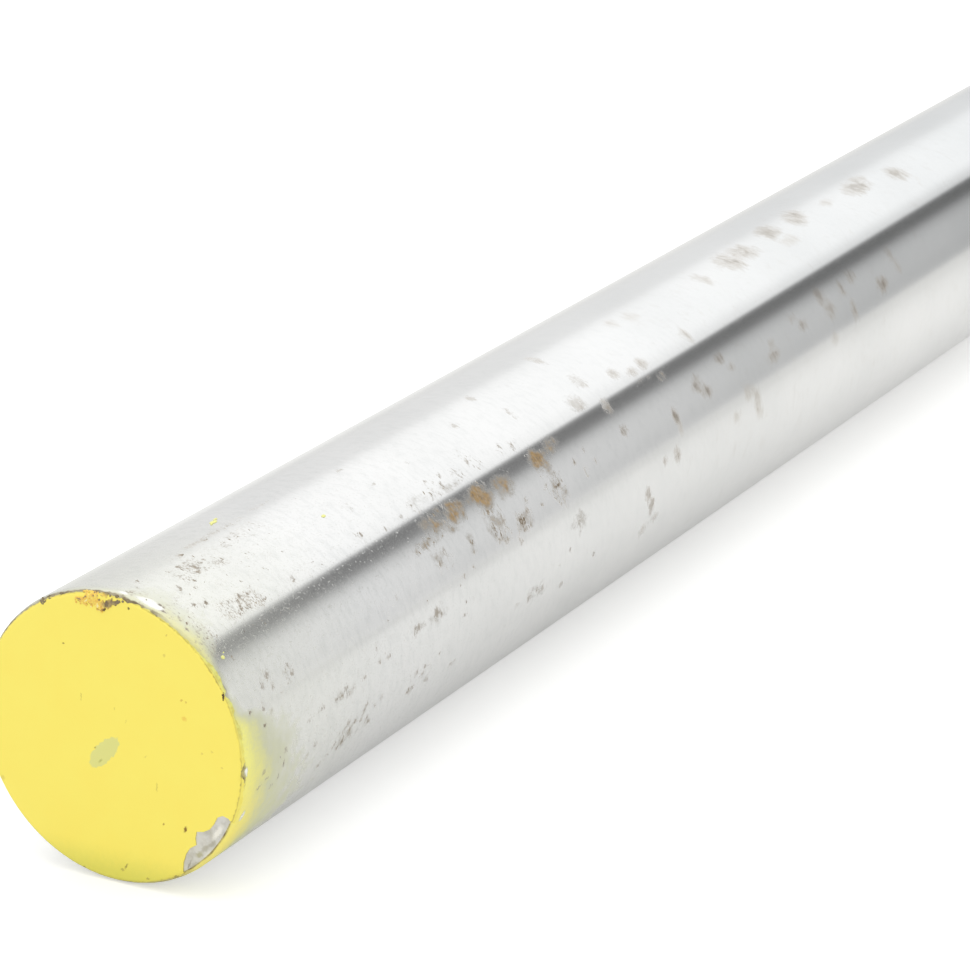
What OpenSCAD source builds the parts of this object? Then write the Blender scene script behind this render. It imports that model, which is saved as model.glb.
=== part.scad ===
// Drill rod: one length of round, centreless ground tool steel, lying on its side.
// The rod runs along X, with its painted end at -X, and Z is up.
// The origin is at mid length, on the line where the rod touches what it lies on.

/* [Rod] */
// Ground diameter (1 1/2 inch)
rod_diameter = 38.1; // [6:0.1:100]
// Length from end face to end face (36 inch)
rod_length = 914.4; // [100:0.1:3700]

/* [Ends] */
// Edge break around the painted end, along the rod and across it
painted_edge_break = 0.6; // [0.1:0.1:2]
// Edge break around the plain end, along the rod and across it
plain_edge_break = 0.6; // [0.1:0.1:2]

/* [Colours] */
// Colour of the ground steel
steel_colour = "lightgray"; // [lightgray, silver, gainsboro]
// Colour of the paint that marks the grade, on one end face and its edge break
paint_colour = "khaki"; // [khaki, gold, orange, red, blue, green, white]

/* [Hidden] */

// Facets around the rod in a preview
$fn = 96;

// Extra length on the blank at each end, which the end cuts take off
saw_allowance = 2;
// How far an end cut reaches past the rod's surface
cut_overlap = 1;

rod_radius = rod_diameter / 2;
half_length = rod_length / 2;

// The blank, longer than the rod, with its axis along X and its surface finished
module ground_blank() {
    rotate([0, 90, 0])
        cylinder(d = rod_diameter, h = rod_length + 2 * saw_allowance, center = true);
}

// What an end cut takes off, turned about Z: it leaves a flat face at z = 0 with a
// 45 degree edge break around it, and the rod that stays is below
module end_cut(edge_break) {
    cut_radius = rod_radius + cut_overlap;
    cut_height = saw_allowance + cut_overlap;
    rotate_extrude()
        polygon([
            [0, 0],
            [rod_radius - edge_break, 0],
            [cut_radius, -edge_break - cut_overlap],
            [cut_radius, cut_height],
            [0, cut_height]
        ]);
}

module drill_rod() {
    translate([0, 0, rod_radius])
        difference() {
            color(steel_colour) ground_blank();
            color(paint_colour)
                translate([-half_length, 0, 0])
                    rotate([0, -90, 0]) end_cut(painted_edge_break);
            color(steel_colour)
                translate([half_length, 0, 0])
                    rotate([0, 90, 0]) end_cut(plain_edge_break);
        }
}

drill_rod();
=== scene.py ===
import math
import random

import bpy
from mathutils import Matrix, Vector, noise


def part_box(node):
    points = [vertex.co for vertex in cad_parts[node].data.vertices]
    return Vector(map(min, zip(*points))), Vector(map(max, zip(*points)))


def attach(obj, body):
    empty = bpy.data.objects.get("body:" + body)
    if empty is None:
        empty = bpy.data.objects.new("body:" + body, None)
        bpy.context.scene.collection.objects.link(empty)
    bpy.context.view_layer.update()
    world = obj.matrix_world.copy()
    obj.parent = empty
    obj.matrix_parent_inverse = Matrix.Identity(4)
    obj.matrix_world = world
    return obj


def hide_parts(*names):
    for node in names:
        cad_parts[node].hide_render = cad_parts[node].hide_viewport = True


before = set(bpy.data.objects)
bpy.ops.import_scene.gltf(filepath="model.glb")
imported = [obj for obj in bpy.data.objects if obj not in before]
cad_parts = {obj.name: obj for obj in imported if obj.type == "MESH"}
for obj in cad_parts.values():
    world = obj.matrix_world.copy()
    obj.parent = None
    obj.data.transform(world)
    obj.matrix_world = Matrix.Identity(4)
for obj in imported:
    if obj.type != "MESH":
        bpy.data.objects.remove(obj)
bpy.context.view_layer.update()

mm = 0.001
low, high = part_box("drill_rod")
rodRadius = (high.z - low.z) / 2
axisHeight = (high.z + low.z) / 2
paintedEnd, plainEnd = low.x, high.x


# A place on the side is millimetres from the painted end and degrees from the top,
# growing towards -Y. A place on the face is millimetres from the axis, across
# towards -Y and up.
def onSide(along, degrees, height=0.0):
    turn = math.radians(degrees)
    reach = rodRadius + height * mm
    return Vector((paintedEnd + along * mm,
                   -reach * math.sin(turn),
                   axisHeight + reach * math.cos(turn)))


def onFace(across, up, height=0.0):
    return Vector((paintedEnd - height * mm, -across * mm, axisHeight + up * mm))


def linear(hexCode):
    # an sRGB hex colour as linear red, green, blue and alpha
    parts = [int(hexCode[i:i + 2], 16) / 255 for i in (1, 3, 5)]
    return tuple(c / 12.92 if c <= 0.04045 else ((c + 0.055) / 1.055) ** 2.4
                 for c in parts) + (1.0,)


def addNode(tree, kind, settings=None, inputs=None):
    # inputs are values or links, by name in a dictionary or in order in a list
    node = tree.nodes.new("ShaderNode" + kind)
    for name, value in (settings or {}).items():
        setattr(node, name, value)
    given = inputs.items() if isinstance(inputs, dict) else enumerate(inputs or [])
    for key, value in given:
        if isinstance(value, bpy.types.Node):
            value = value.outputs[0]
        if isinstance(value, bpy.types.NodeSocket):
            tree.links.new(value, node.inputs[key])
        elif value is not None:
            node.inputs[key].default_value = value
    return node


def newMaterial(name):
    material = bpy.data.materials.new(name)
    material.use_nodes = True
    material.node_tree.nodes.clear()
    return material, material.node_tree


def rodPlaces(tree):
    # millimetres from the painted end, degrees from the top, and the point in
    # millimetres from the middle of the painted face
    coords = addNode(tree, "TexCoord")
    point = addNode(tree, "Mapping", None, {
        "Vector": coords.outputs["Object"],
        "Location": (-paintedEnd / mm, 0, -axisHeight / mm),
        "Scale": (1 / mm, 1 / mm, 1 / mm)})
    parts = addNode(tree, "SeparateXYZ", None, [point])
    across = addNode(tree, "Math", {"operation": "MULTIPLY"}, [parts.outputs["Y"], -1])
    turn = addNode(tree, "Math", {"operation": "ARCTAN2"}, [across, parts.outputs["Z"]])
    degrees = addNode(tree, "Math", {"operation": "DEGREES"}, [turn])
    return point, parts.outputs["X"], across, parts.outputs["Z"], degrees


def ellipseMask(tree, place, centre, reach, soft=0.6):
    # 1 inside an ellipse, fading to 0 at its edge
    away = addNode(tree, "VectorMath", {"operation": "SUBTRACT"}, [place, centre])
    share = addNode(tree, "VectorMath", {"operation": "DIVIDE"}, [away, reach])
    length = addNode(tree, "VectorMath", {"operation": "LENGTH"}, [share])
    return addNode(tree, "MapRange", {"interpolation_type": "SMOOTHSTEP"}, {
        "Value": length.outputs["Value"], "From Min": 1, "From Max": 1 - soft})


def addRamp(tree, share, stops):
    # colours by degrees round the rod; the share runs from 0 at -180 to 1 at 180
    node = addNode(tree, "ValToRGB", None, [share])
    ramp = node.color_ramp
    for _ in stops[1:-1]:
        ramp.elements.new(0.5)
    for element, (degrees, colour) in zip(ramp.elements, stops):
        element.position = (degrees + 180) / 360
        element.color = colour
    return node


def addMarks(tree, base, marks):
    # small ragged marks on the painted end: across, up, half length and half width in
    # millimetres, degrees turned, colour and cover
    point, along, across, up, degrees = rodPlaces(tree)
    ragged = addNode(tree, "TexNoise", None, {"Vector": point, "Scale": 3.5, "Detail": 3})
    place = addNode(tree, "VectorMath", {"operation": "MULTIPLY_ADD"}, [
        ragged.outputs["Color"], (0.5, 0.5, 0),
        addNode(tree, "CombineXYZ", None, [across, up, along])])
    for markAcross, markUp, halfLong, halfWide, turned, colour, cover in marks:
        moved = addNode(tree, "Mapping", {"vector_type": "TEXTURE"}, {
            "Vector": place, "Location": (markAcross + 0.25, markUp + 0.25, 0),
            "Rotation": (0, 0, math.radians(turned))})
        mask = ellipseMask(tree, moved, (0, 0, 0), (halfLong, halfWide, 20), 0.7)
        share = addNode(tree, "Math", {"operation": "MULTIPLY"}, [mask, cover])
        base = addNode(tree, "Mix", {"data_type": "RGBA"}, {
            0: share, 6: base.outputs[2], 7: linear(colour)})
    return base


def finishMaterial(tree, shader):
    output = addNode(tree, "OutputMaterial")
    tree.links.new(shader.outputs[0], output.inputs["Surface"])


# Modelling by hand, in code
def startEdit(piece, kind, test):
    # leaves edit mode on, with only the vertices, edges or faces that pass the test
    if bpy.context.mode != "OBJECT":
        bpy.ops.object.mode_set(mode="OBJECT")
    bpy.ops.object.select_all(action="DESELECT")
    piece.select_set(True)
    bpy.context.view_layer.objects.active = piece
    bpy.context.tool_settings.mesh_select_mode = [kind == k for k in ("VERT", "EDGE", "FACE")]
    mesh = piece.data
    for part in (mesh.vertices, mesh.edges, mesh.polygons):
        part.foreach_set("select", [False] * len(part))
    for element in {"VERT": mesh.vertices, "EDGE": mesh.edges, "FACE": mesh.polygons}[kind]:
        element.select = bool(test(element))
    bpy.ops.object.mode_set(mode="EDIT")


def endEdit():
    bpy.ops.object.mode_set(mode="OBJECT")


def newPiece(name):
    # takes the primitive that was just added, with its place put into its mesh
    piece = bpy.context.object
    piece.name = name
    piece.data.name = name
    bpy.ops.object.transform_apply(location=True, rotation=True, scale=True)
    return piece


def applyModifier(piece, kind, **settings):
    bpy.ops.object.select_all(action="DESELECT")
    piece.select_set(True)
    bpy.context.view_layer.objects.active = piece
    modifier = piece.modifiers.new(kind.title(), kind)
    for name, value in settings.items():
        setattr(modifier, name, value)
    bpy.ops.object.modifier_apply(modifier=modifier.name)


def smooth(piece, degrees):
    bpy.ops.object.select_all(action="DESELECT")
    piece.select_set(True)
    bpy.context.view_layer.objects.active = piece
    bpy.ops.object.shade_smooth_by_angle(angle=math.radians(degrees))


def spanShare(span, degrees):
    # how far a place round the rod is inside a span of degrees, 0 to 1
    start, end, fade = span
    turn = (degrees - start) % 360
    width = (end - start) % 360
    if turn > width:
        away = min(turn - width, 360 - turn)
        return max(0.0, 1 - away / fade)
    return 1.0


# Camera
cameraLook = {"azimuth": -61.54, "elevation": 19.30, "lens": 148.0,
              "place": (-0.8283, -0.2529, 0.2081)}
cameraData = bpy.data.cameras.new("camera")
cameraData.lens = cameraLook["lens"]
cameraData.sensor_width = 36
cameraData.clip_start = 0.01
cameraData.clip_end = 100
camera = bpy.data.objects.new("camera", cameraData)
bpy.context.scene.collection.objects.link(camera)
camera.location = cameraLook["place"]
turn, lift = math.radians(cameraLook["azimuth"]), math.radians(cameraLook["elevation"])
backward = Vector((math.sin(turn) * math.cos(lift), -math.cos(turn) * math.cos(lift),
                   math.sin(lift)))
camera.rotation_euler = (-backward).to_track_quat("-Z", "Y").to_euler()
bpy.context.scene.camera = camera
print("camera placed")


# Steel: centreless ground tool steel. The wheel leaves a bright, nearly mirror surface
# with very fine lines round the rod, so reflections stay sharp across it and spread
# along it.
steelLook = {
    "colour": "#d9d9d8",
    "filmColour": "#cbcccb",
    "lineSpacing": 0.5,      # ground lines, millimetres; finer on the real rod
    "roughness": 0.16,
    "rustFaint": "#c6c0b6",
    "rustDark": "#63543f",
    "rustOrange": "#a08456",
    "hazeColour": "#7d715b",
    "hazeOrange": "#9c7938",
    "hazeBrown": "#5a4a36",
    "edgeColour": "#b0a488",
    "edgeDark": "#66563b",
    # scuffs on the painted end's edge break, brown wear that is partly painted shade in the
    # thin dark line
    # along the lower rim: degrees from the top, cover, how dark, and 1 where they keep to a
    # thin line
    "edge": [(-180, 0.5, 0.3, 0), (-75, 0.6, 0.4, 0), (-60, 0.95, 0.3, 0),
             (-46, 0.95, 0.35, 0), (-8, 0.95, 0.35, 0), (14, 1.0, 0.6, 0),
             (22, 0.95, 0.8, 0.3), (27, 0.85, 0.75, 0.8), (38, 0.75, 0.7, 0.8),
             (50, 0.7, 0.6, 0.7), (62, 0.6, 0.6, 0.4), (74, 0.4, 0.6, 0.4),
             (86, 0.1, 0.5, 0), (90, 0.9, 0.7, 0),
             (97, 0.8, 0.6, 0), (102, 0.1, 0.5, 1), (112, 0.3, 0.6, 1),
             (118, 0.8, 0.75, 1), (142, 0.8, 0.8, 1),
             (152, 0.6, 0.5, 0), (180, 0.5, 0.3, 0)],
    "dustColour": "#d6d6cb",
    "dustReach": 90,         # millimetres of fine paint dust behind the painted end
    "mistColour": "#f8f388",
    "mistThin": "#c3c592",
    "mistWarm": "#fff07e",
    "mistWarmThin": "#d6d898",
    # paint mist behind the rim: degrees from the top, reach in millimetres, cover, warmth
    "mist": [(-180, 3.0, 0.5, 0.5), (-120, 1.6, 0.5, 0), (-45, 1.0, 0.4, 0),
             (0, 2.4, 0.35, 0.3), (12, 5.5, 0.4, 0.4), (30, 5.0, 0.6, 0.6),
             (40, 4.4, 0.7, 0.5), (50, 1.9, 0.75, 0.3), (62, 1.1, 0.6, 0),
             (70, 2.2, 0.8, 0), (76, 8.0, 0.95, 0), (88, 10.5, 1.0, 0),
             (100, 12.0, 1.0, 0.4), (110, 13.0, 1.0, 0.8), (120, 14.0, 1.0, 1.0),
             (130, 11.0, 1.0, 1.0), (142, 7.0, 0.9, 1.0), (180, 3.0, 0.5, 0.5)],
    # bright places behind the rim that the mist missed: along, degrees, half sizes
    "bareColour": "#f2f2f0",
    "bare": [(1.45, 17, 0.85, 7), (1.1, 6, 0.4, 3.5), (1.6, 112, 0.7, 3.0),
             (0.7, 92, 0.35, 2.8)],
}


def groundSteel():
    material, tree = newMaterial("centrelessGroundSteel")
    point, along, across, up, degrees = rodPlaces(tree)
    around = addNode(tree, "Math", {"operation": "MULTIPLY"},
                     [degrees, math.radians(1) * rodRadius / mm])
    place = addNode(tree, "CombineXYZ", None, [along, around, 0])
    wear = addNode(tree, "Attribute", {"attribute_name": "wear"})
    wearParts = addNode(tree, "SeparateXYZ", None, [wear.outputs["Vector"]])
    rise, dark, warm = (wearParts.outputs[i] for i in range(3))

    # handling film: broad soft patches, and a fine mottle within them
    film = addNode(tree, "TexNoise", None, {"Vector": point, "Scale": 1 / 22, "Detail": 3})
    mottlePlace = addNode(tree, "VectorMath", {"operation": "MULTIPLY"},
                          [point, (1.0, 0.5, 0.5)])
    mottle = addNode(tree, "TexNoise", None, {
        "Vector": mottlePlace, "Scale": 1.1, "Detail": 4, "Roughness": 0.6})
    filmAmount = addNode(tree, "MapRange", None, {
        "Value": film.outputs["Fac"], "From Min": 0.35, "From Max": 0.7, "To Max": 0.4})
    mottleAmount = addNode(tree, "MapRange", None, {
        "Value": mottle.outputs["Fac"], "From Min": 0.46, "From Max": 0.72,
        "To Max": 0.6})
    nearShare = addNode(tree, "MapRange", None, {
        "Value": along, "From Min": 30, "From Max": 150, "To Min": 1, "To Max": 0.2})
    mottleAmount = addNode(tree, "Math", {"operation": "MULTIPLY"},
                           [mottleAmount, nearShare])
    filmAmount = addNode(tree, "Math", {"operation": "ADD", "use_clamp": True},
                         [filmAmount, mottleAmount])
    steel = addNode(tree, "Mix", {"data_type": "RGBA"}, {
        0: filmAmount, 6: linear(steelLook["colour"]), 7: linear(steelLook["filmColour"])})

    # haze of rust, then fine paint dust that thins out along the rod
    clumps = addNode(tree, "TexNoise", None, {
        "Vector": point, "Scale": 1 / 2.6, "Detail": 2})
    ragged = addNode(tree, "TexNoise", None, {
        "Vector": point, "Scale": 0.6, "Detail": 5, "Roughness": 0.65})
    haze = addNode(tree, "Math", {"operation": "MULTIPLY_ADD"}, [
        ragged.outputs["Fac"], 1.8, addNode(
            tree, "Math", {"operation": "SUBTRACT"}, [wear.outputs["Alpha"], 0.9])])
    haze = addNode(tree, "MapRange", {"interpolation_type": "SMOOTHSTEP"}, {
        "Value": haze, "From Min": 0.05, "From Max": 0.95, "To Max": 0.88})
    haze = addNode(tree, "Math", {"operation": "MULTIPLY", "use_clamp": True}, [
        haze, addNode(tree, "MapRange", None, {
            "Value": wear.outputs["Alpha"], "From Max": 0.2})])
    hazeCore = addNode(tree, "MapRange", None, {
        "Value": haze, "From Min": 0.4, "From Max": 0.85})
    hazeTone = addNode(tree, "Mix", {"data_type": "RGBA"}, {
        0: hazeCore, 6: linear(steelLook["hazeColour"]), 7: linear(steelLook["hazeOrange"])})
    speckle = addNode(tree, "TexNoise", None, {
        "Vector": point, "Scale": 1.9, "Detail": 4, "Roughness": 0.7})
    hazeTone = addNode(tree, "Mix", {"data_type": "RGBA"}, {
        0: addNode(tree, "MapRange", None, {
            "Value": speckle.outputs["Fac"], "From Min": 0.46, "From Max": 0.64,
            "To Max": 0.75}),
        6: hazeTone.outputs[2], 7: linear(steelLook["hazeBrown"])})
    hazed = addNode(tree, "Mix", {"data_type": "RGBA"}, {
        0: haze, 6: steel.outputs[2], 7: hazeTone.outputs[2]})
    grain = addNode(tree, "TexNoise", None, {"Vector": point, "Scale": 3, "Detail": 5})
    dustRise = addNode(tree, "MapRange", None, {
        "Value": along, "From Max": steelLook["dustReach"], "To Min": 0.11,
        "To Max": -0.05})
    dustHeight = addNode(tree, "Math", {"operation": "ADD"},
                         [grain.outputs["Fac"], dustRise])
    dust = addNode(tree, "MapRange", None, {
        "Value": dustHeight, "From Min": 0.62, "From Max": 0.92, "To Max": 0.6})
    dusted = addNode(tree, "Mix", {"data_type": "RGBA"}, {
        0: dust, 6: hazed.outputs[2], 7: linear(steelLook["dustColour"])})

    # paint mist: its reach and cover go round the rod by the ramp
    share = addNode(tree, "MapRange", None, {
        "Value": degrees, "From Min": -180, "From Max": 180})
    rim = addRamp(tree, share, [(turn, (reach / 16, cover, warmth, 1))
                                for turn, reach, cover, warmth in steelLook["mist"]])
    rimParts = addNode(tree, "SeparateColor", None, [rim.outputs["Color"]])
    wander = addNode(tree, "TexNoise", None, {
        "Vector": point, "Scale": 0.45, "Detail": 4, "Roughness": 0.6})
    wanderShare = addNode(tree, "MapRange", None, {
        "Value": wander.outputs["Fac"], "From Min": 0.3, "From Max": 0.7,
        "To Min": 12, "To Max": 20})
    reach = addNode(tree, "Math", {"operation": "MULTIPLY"},
                    [rimParts.outputs[0], wanderShare])
    away = addNode(tree, "Math", {"operation": "DIVIDE"}, [along, reach])
    grainShare = addNode(tree, "MapRange", None, {
        "Value": grain.outputs["Fac"], "From Min": 0.35, "From Max": 0.65,
        "To Min": 0.95, "To Max": 1.04})
    cover = addNode(tree, "Math", {"operation": "MULTIPLY"},
                    [rimParts.outputs[1], grainShare])
    missed = 0.0
    for centre, middle, halfAlong, halfTurn in steelLook["bare"]:
        toAround = math.radians(1) * rodRadius / mm
        missed = addNode(tree, "Math", {"operation": "MAXIMUM"}, [missed, ellipseMask(
            tree, addNode(tree, "VectorMath", {"operation": "MULTIPLY_ADD"}, [
                wander.outputs["Color"], (0.8, 2.5, 0), place]),
            (centre + 0.4, middle * toAround + 1.25, 0.0),
            (halfAlong, halfTurn * toAround, 20), 0.7)])
    cover = addNode(tree, "Math", {"operation": "MULTIPLY_ADD", "use_clamp": True},
                    [missed, -0.85, cover])
    thinMist = addNode(tree, "Math", {"operation": "MULTIPLY"}, [cover, addNode(
        tree, "MapRange", None, {"Value": away, "From Min": 1.35, "From Max": 0.0})])
    veil = addNode(tree, "MapRange", None, {
        "Value": along, "From Max": 34, "To Min": 0.13, "To Max": 0})
    thinMist = addNode(tree, "Math", {"operation": "MAXIMUM"}, [thinMist, veil])
    coreMist = addNode(tree, "MapRange", {"interpolation_type": "SMOOTHSTEP"}, {
        "Value": away, "From Min": 0.6, "From Max": 0.0})
    coreMist = addNode(tree, "Math", {"operation": "MULTIPLY"}, [addNode(
        tree, "Math", {"operation": "POWER"}, [cover, 2.5]), coreMist])
    mist = addNode(tree, "Math", {"operation": "MAXIMUM"}, [thinMist, coreMist])
    misted = addNode(tree, "Mix", {"data_type": "RGBA"}, {
        0: missed, 6: dusted.outputs[2], 7: linear(steelLook["bareColour"])})
    for amount, cool, warmTone in ((thinMist, "mistThin", "mistWarmThin"),
                                   (coreMist, "mistColour", "mistWarm")):
        mistTone = addNode(tree, "Mix", {"data_type": "RGBA"}, {
            0: rimParts.outputs[2], 6: linear(steelLook[cool]),
            7: linear(steelLook[warmTone])})
        misted = addNode(tree, "Mix", {"data_type": "RGBA"}, {
            0: amount, 6: misted.outputs[2], 7: mistTone.outputs[2]})

    # rust flecks: short strokes round the rod, where the wear is painted on the mesh
    fineStrokes, broadStrokes, coarseStrokes = (addNode(tree, "TexNoise", None, {
        "Vector": addNode(tree, "VectorMath", {"operation": "MULTIPLY"}, [point, size]),
        "Scale": 1.0, "Detail": 4, "Roughness": 0.65, "Distortion": 0.6})
        for size in ((4.6, 2.5, 2.5), (2.4, 1.2, 1.2), (0.9, 0.5, 0.5)))
    midShare, farShare = (addNode(tree, "MapRange", None, {
        "Value": along, "From Min": start, "From Max": end})
        for start, end in ((20, 60), (88, 135)))
    strokes = addNode(tree, "Mix", None, {
        0: midShare, 2: fineStrokes.outputs["Fac"], 3: broadStrokes.outputs["Fac"]})
    blotches = addNode(tree, "Math", {"operation": "MULTIPLY_ADD"},
                       [coarseStrokes.outputs["Fac"], 0.55, 0.22])
    strokes = addNode(tree, "Mix", None, {0: farShare, 2: strokes, 3: blotches})
    clumped = addNode(tree, "Math", {"operation": "MULTIPLY_ADD"},
                      [clumps.outputs["Fac"], 0.4, -0.2])
    lifted = addNode(tree, "Math", {"operation": "ADD"}, [strokes, rise])
    lifted = addNode(tree, "Math", {"operation": "ADD"}, [lifted, clumped])
    fleck = addNode(tree, "MapRange", {"interpolation_type": "SMOOTHSTEP"}, {
        "Value": lifted,
        "From Min": addNode(tree, "Math", {"operation": "MULTIPLY_ADD"},
                            [farShare, -0.2, 0.77]),
        "From Max": addNode(tree, "Math", {"operation": "MULTIPLY_ADD"},
                            [farShare, 0.08, 0.97])})
    strength = addNode(tree, "Math", {"operation": "MULTIPLY_ADD", "use_clamp": True},
                       [dark, 1.0, 0.3])
    fleck = addNode(tree, "Math", {"operation": "MULTIPLY"}, [fleck, strength])
    fleck = addNode(tree, "Math", {"operation": "MULTIPLY"}, [fleck, addNode(
        tree, "Math", {"operation": "MULTIPLY_ADD"}, [farShare, -0.05, 1.0])])
    depth = addNode(tree, "MapRange", None, {
        "Value": lifted, "From Min": 0.86, "From Max": 1.06, "To Min": 0.6,
        "To Max": 1.6})
    depth = addNode(tree, "Math", {"operation": "MULTIPLY", "use_clamp": True},
                    [dark, depth])
    rust = addNode(tree, "Mix", {"data_type": "RGBA"}, {
        0: depth, 6: linear(steelLook["rustFaint"]), 7: linear(steelLook["rustDark"])})
    tingeShare = addNode(tree, "MapRange", None, {
        "Value": ragged.outputs["Fac"], "From Min": 0.4, "From Max": 0.6})
    warmShare = addNode(tree, "MapRange", None, {
        "Value": warm, "From Min": 0.2, "From Max": 1.0})
    orangeShare = addNode(tree, "Math", {"operation": "MULTIPLY"}, [warmShare, tingeShare])
    rust = addNode(tree, "Mix", {"data_type": "RGBA"}, {
        0: orangeShare, 6: rust.outputs[2], 7: linear(steelLook["rustOrange"])})
    rusted = addNode(tree, "Mix", {"data_type": "RGBA"}, {
        0: fleck, 6: misted.outputs[2], 7: rust.outputs[2]})

    # the edge breaks at both ends are scuffed and brown, and their thin dark line along the
    # lower rim is partly painted shade
    toMiddle = addNode(tree, "Math", {"operation": "SUBTRACT"},
                       [(plainEnd - paintedEnd) / mm / 2, addNode(
                           tree, "Math", {"operation": "ABSOLUTE"}, [addNode(
                               tree, "Math", {"operation": "SUBTRACT"},
                               [along, (plainEnd - paintedEnd) / mm / 2])])])
    edgeNoise = addNode(tree, "MapRange", None, {
        "Value": mottle.outputs["Fac"], "From Min": 0.3, "From Max": 0.7,
        "To Min": -0.2, "To Max": 0.2})
    edge = addNode(tree, "MapRange", {"interpolation_type": "SMOOTHSTEP"}, {
        "Value": addNode(tree, "Math", {"operation": "ADD"}, [toMiddle, edgeNoise]),
        "From Min": 0.68, "From Max": 0.46})
    edgeRamp = addRamp(tree, share, [(turn, (cover, darkness, narrow, 1))
                                     for turn, cover, darkness, narrow in steelLook["edge"]])
    edgeParts = addNode(tree, "SeparateColor", None, [edgeRamp.outputs["Color"]])
    # painted shade: the thin dark line close to the face, on the lower rim
    thinEdge = addNode(tree, "MapRange", {"interpolation_type": "SMOOTHSTEP"}, {
        "Value": toMiddle, "From Min": 0.3, "From Max": 0.2})
    edge = addNode(tree, "Math", {"operation": "MULTIPLY"}, [edge, addNode(
        tree, "Mix", None, {0: edgeParts.outputs[2], 2: 1.0, 3: thinEdge})])
    edgeCover = addNode(tree, "Math", {"operation": "MULTIPLY_ADD", "use_clamp": True}, [
        ragged.outputs["Fac"], 2.0, addNode(
            tree, "Math", {"operation": "SUBTRACT"}, [edgeParts.outputs[0], 1.0])])
    edge = addNode(tree, "Math", {"operation": "MULTIPLY"}, [edge, edgeCover])
    edgeDark = addNode(tree, "Math", {"operation": "MULTIPLY_ADD", "use_clamp": True}, [
        ragged.outputs["Fac"], 2.4, addNode(
            tree, "Math", {"operation": "SUBTRACT"}, [edgeParts.outputs[1], 1.2])])
    edgeTone = addNode(tree, "Mix", {"data_type": "RGBA"}, {
        0: edgeDark, 6: linear(steelLook["edgeColour"]), 7: linear(steelLook["edgeDark"])})
    edged = addNode(tree, "Mix", {"data_type": "RGBA"}, {
        0: edge, 6: rusted.outputs[2], 7: edgeTone.outputs[2]})

    # fine lines round the rod, and flecks that stand a little proud
    linePlace = addNode(tree, "VectorMath", {"operation": "MULTIPLY"},
                        [point, (1 / steelLook["lineSpacing"], 0.12, 0.12)])
    lines = addNode(tree, "TexNoise", None, {"Vector": linePlace, "Scale": 1, "Detail": 3})
    ground = addNode(tree, "Bump", None, {
        "Strength": 0.1, "Distance": 0.002 * mm, "Height": lines.outputs["Fac"]})
    proud = addNode(tree, "Math", {"operation": "MULTIPLY"}, [fleck, addNode(
        tree, "Math", {"operation": "MULTIPLY_ADD"}, [farShare, -0.85, 1.0])])
    cover = addNode(tree, "Math", {"operation": "MAXIMUM"}, [proud, mist])
    cover = addNode(tree, "Math", {"operation": "MAXIMUM"}, [cover, dust])
    cover = addNode(tree, "Math", {"operation": "MAXIMUM"}, [cover, addNode(
        tree, "Math", {"operation": "MULTIPLY"}, [edge, 0.85])])
    bump = addNode(tree, "Bump", None, {
        "Strength": 0.25, "Distance": 0.02 * mm, "Height": cover, "Normal": ground})
    matt = addNode(tree, "Math", {"operation": "MAXIMUM"}, [cover, haze])
    metallic = addNode(tree, "MapRange", None, {
        "Value": matt, "From Max": 0.9, "To Min": 1, "To Max": 0})
    roughness = addNode(tree, "MapRange", None, {
        "Value": cover, "From Max": 0.8, "To Min": steelLook["roughness"], "To Max": 0.6})
    tangent = addNode(tree, "Tangent", {"direction_type": "RADIAL", "axis": "X"})
    shader = addNode(tree, "BsdfPrincipled", None, {
        "Base Color": edged.outputs[2], "Metallic": metallic, "Roughness": roughness,
        "Normal": bump, "Anisotropic": 0.8, "Anisotropic Rotation": 0.25,
        "Tangent": tangent})
    finishMaterial(tree, shader)
    return material


# End faces: steel cut with an abrasive wheel, which leaves a dull light grey with faint
# arcs across the face.
cutLook = {
    "colour": "#d2d1ce", "dark": "#aca99d", "arcSpacing": 0.7, "roughness": 0.48,
    # scuffs where the paint has chipped off
    "marks": [(15.1, -9.2, 1.7, 0.55, 56, "#f0eee8", 0.8),
              (14.3, -10.9, 0.9, 0.4, 45, "#a19d8e", 0.6),
              (13.3, -11.7, 1.1, 0.45, 40, "#a8a493", 0.6),
              (12.4, -12.7, 0.8, 0.5, 35, "#a5a070", 0.6),
              (13.6, -12.3, 1.3, 0.2, 42, "#e8e6de", 0.5),
              (11.6, -14.4, 1.4, 0.5, 50, "#b5b1a2", 0.6),
              (10.9, -14.4, 1.1, 0.18, 65, "#8e8778", 0.6),
              (11.2, -15.7, 0.9, 0.4, 40, "#7a705f", 0.7)],
}


def cutSteel():
    material, tree = newMaterial("abrasiveCutSteel")
    point, along, across, up, degrees = rodPlaces(tree)
    arcs = addNode(tree, "TexWave", {"wave_type": "RINGS", "rings_direction": "X"}, {
        "Vector": addNode(tree, "VectorMath", {"operation": "ADD"}, [point, (0, 60, 25)]),
        "Scale": 0.314 / cutLook["arcSpacing"], "Distortion": 2.0, "Detail": 2,
        "Detail Scale": 1.0})
    grime = addNode(tree, "TexNoise", None, {
        "Vector": point, "Scale": 0.6, "Detail": 6, "Roughness": 0.65})
    grimeShare = addNode(tree, "MapRange", None, {
        "Value": grime.outputs["Fac"], "From Min": 0.45, "From Max": 0.75, "To Max": 0.8})
    base = addNode(tree, "Mix", {"data_type": "RGBA"}, {
        0: grimeShare, 6: linear(cutLook["colour"]), 7: linear(cutLook["dark"])})
    base = addMarks(tree, base, cutLook["marks"])
    bump = addNode(tree, "Bump", None, {
        "Strength": 0.5, "Distance": 0.02 * mm, "Height": arcs.outputs["Fac"]})
    shader = addNode(tree, "BsdfPrincipled", None, {
        "Base Color": base.outputs[2], "Metallic": 0.85,
        "Roughness": cutLook["roughness"], "Normal": bump})
    finishMaterial(tree, shader)
    return material


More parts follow.
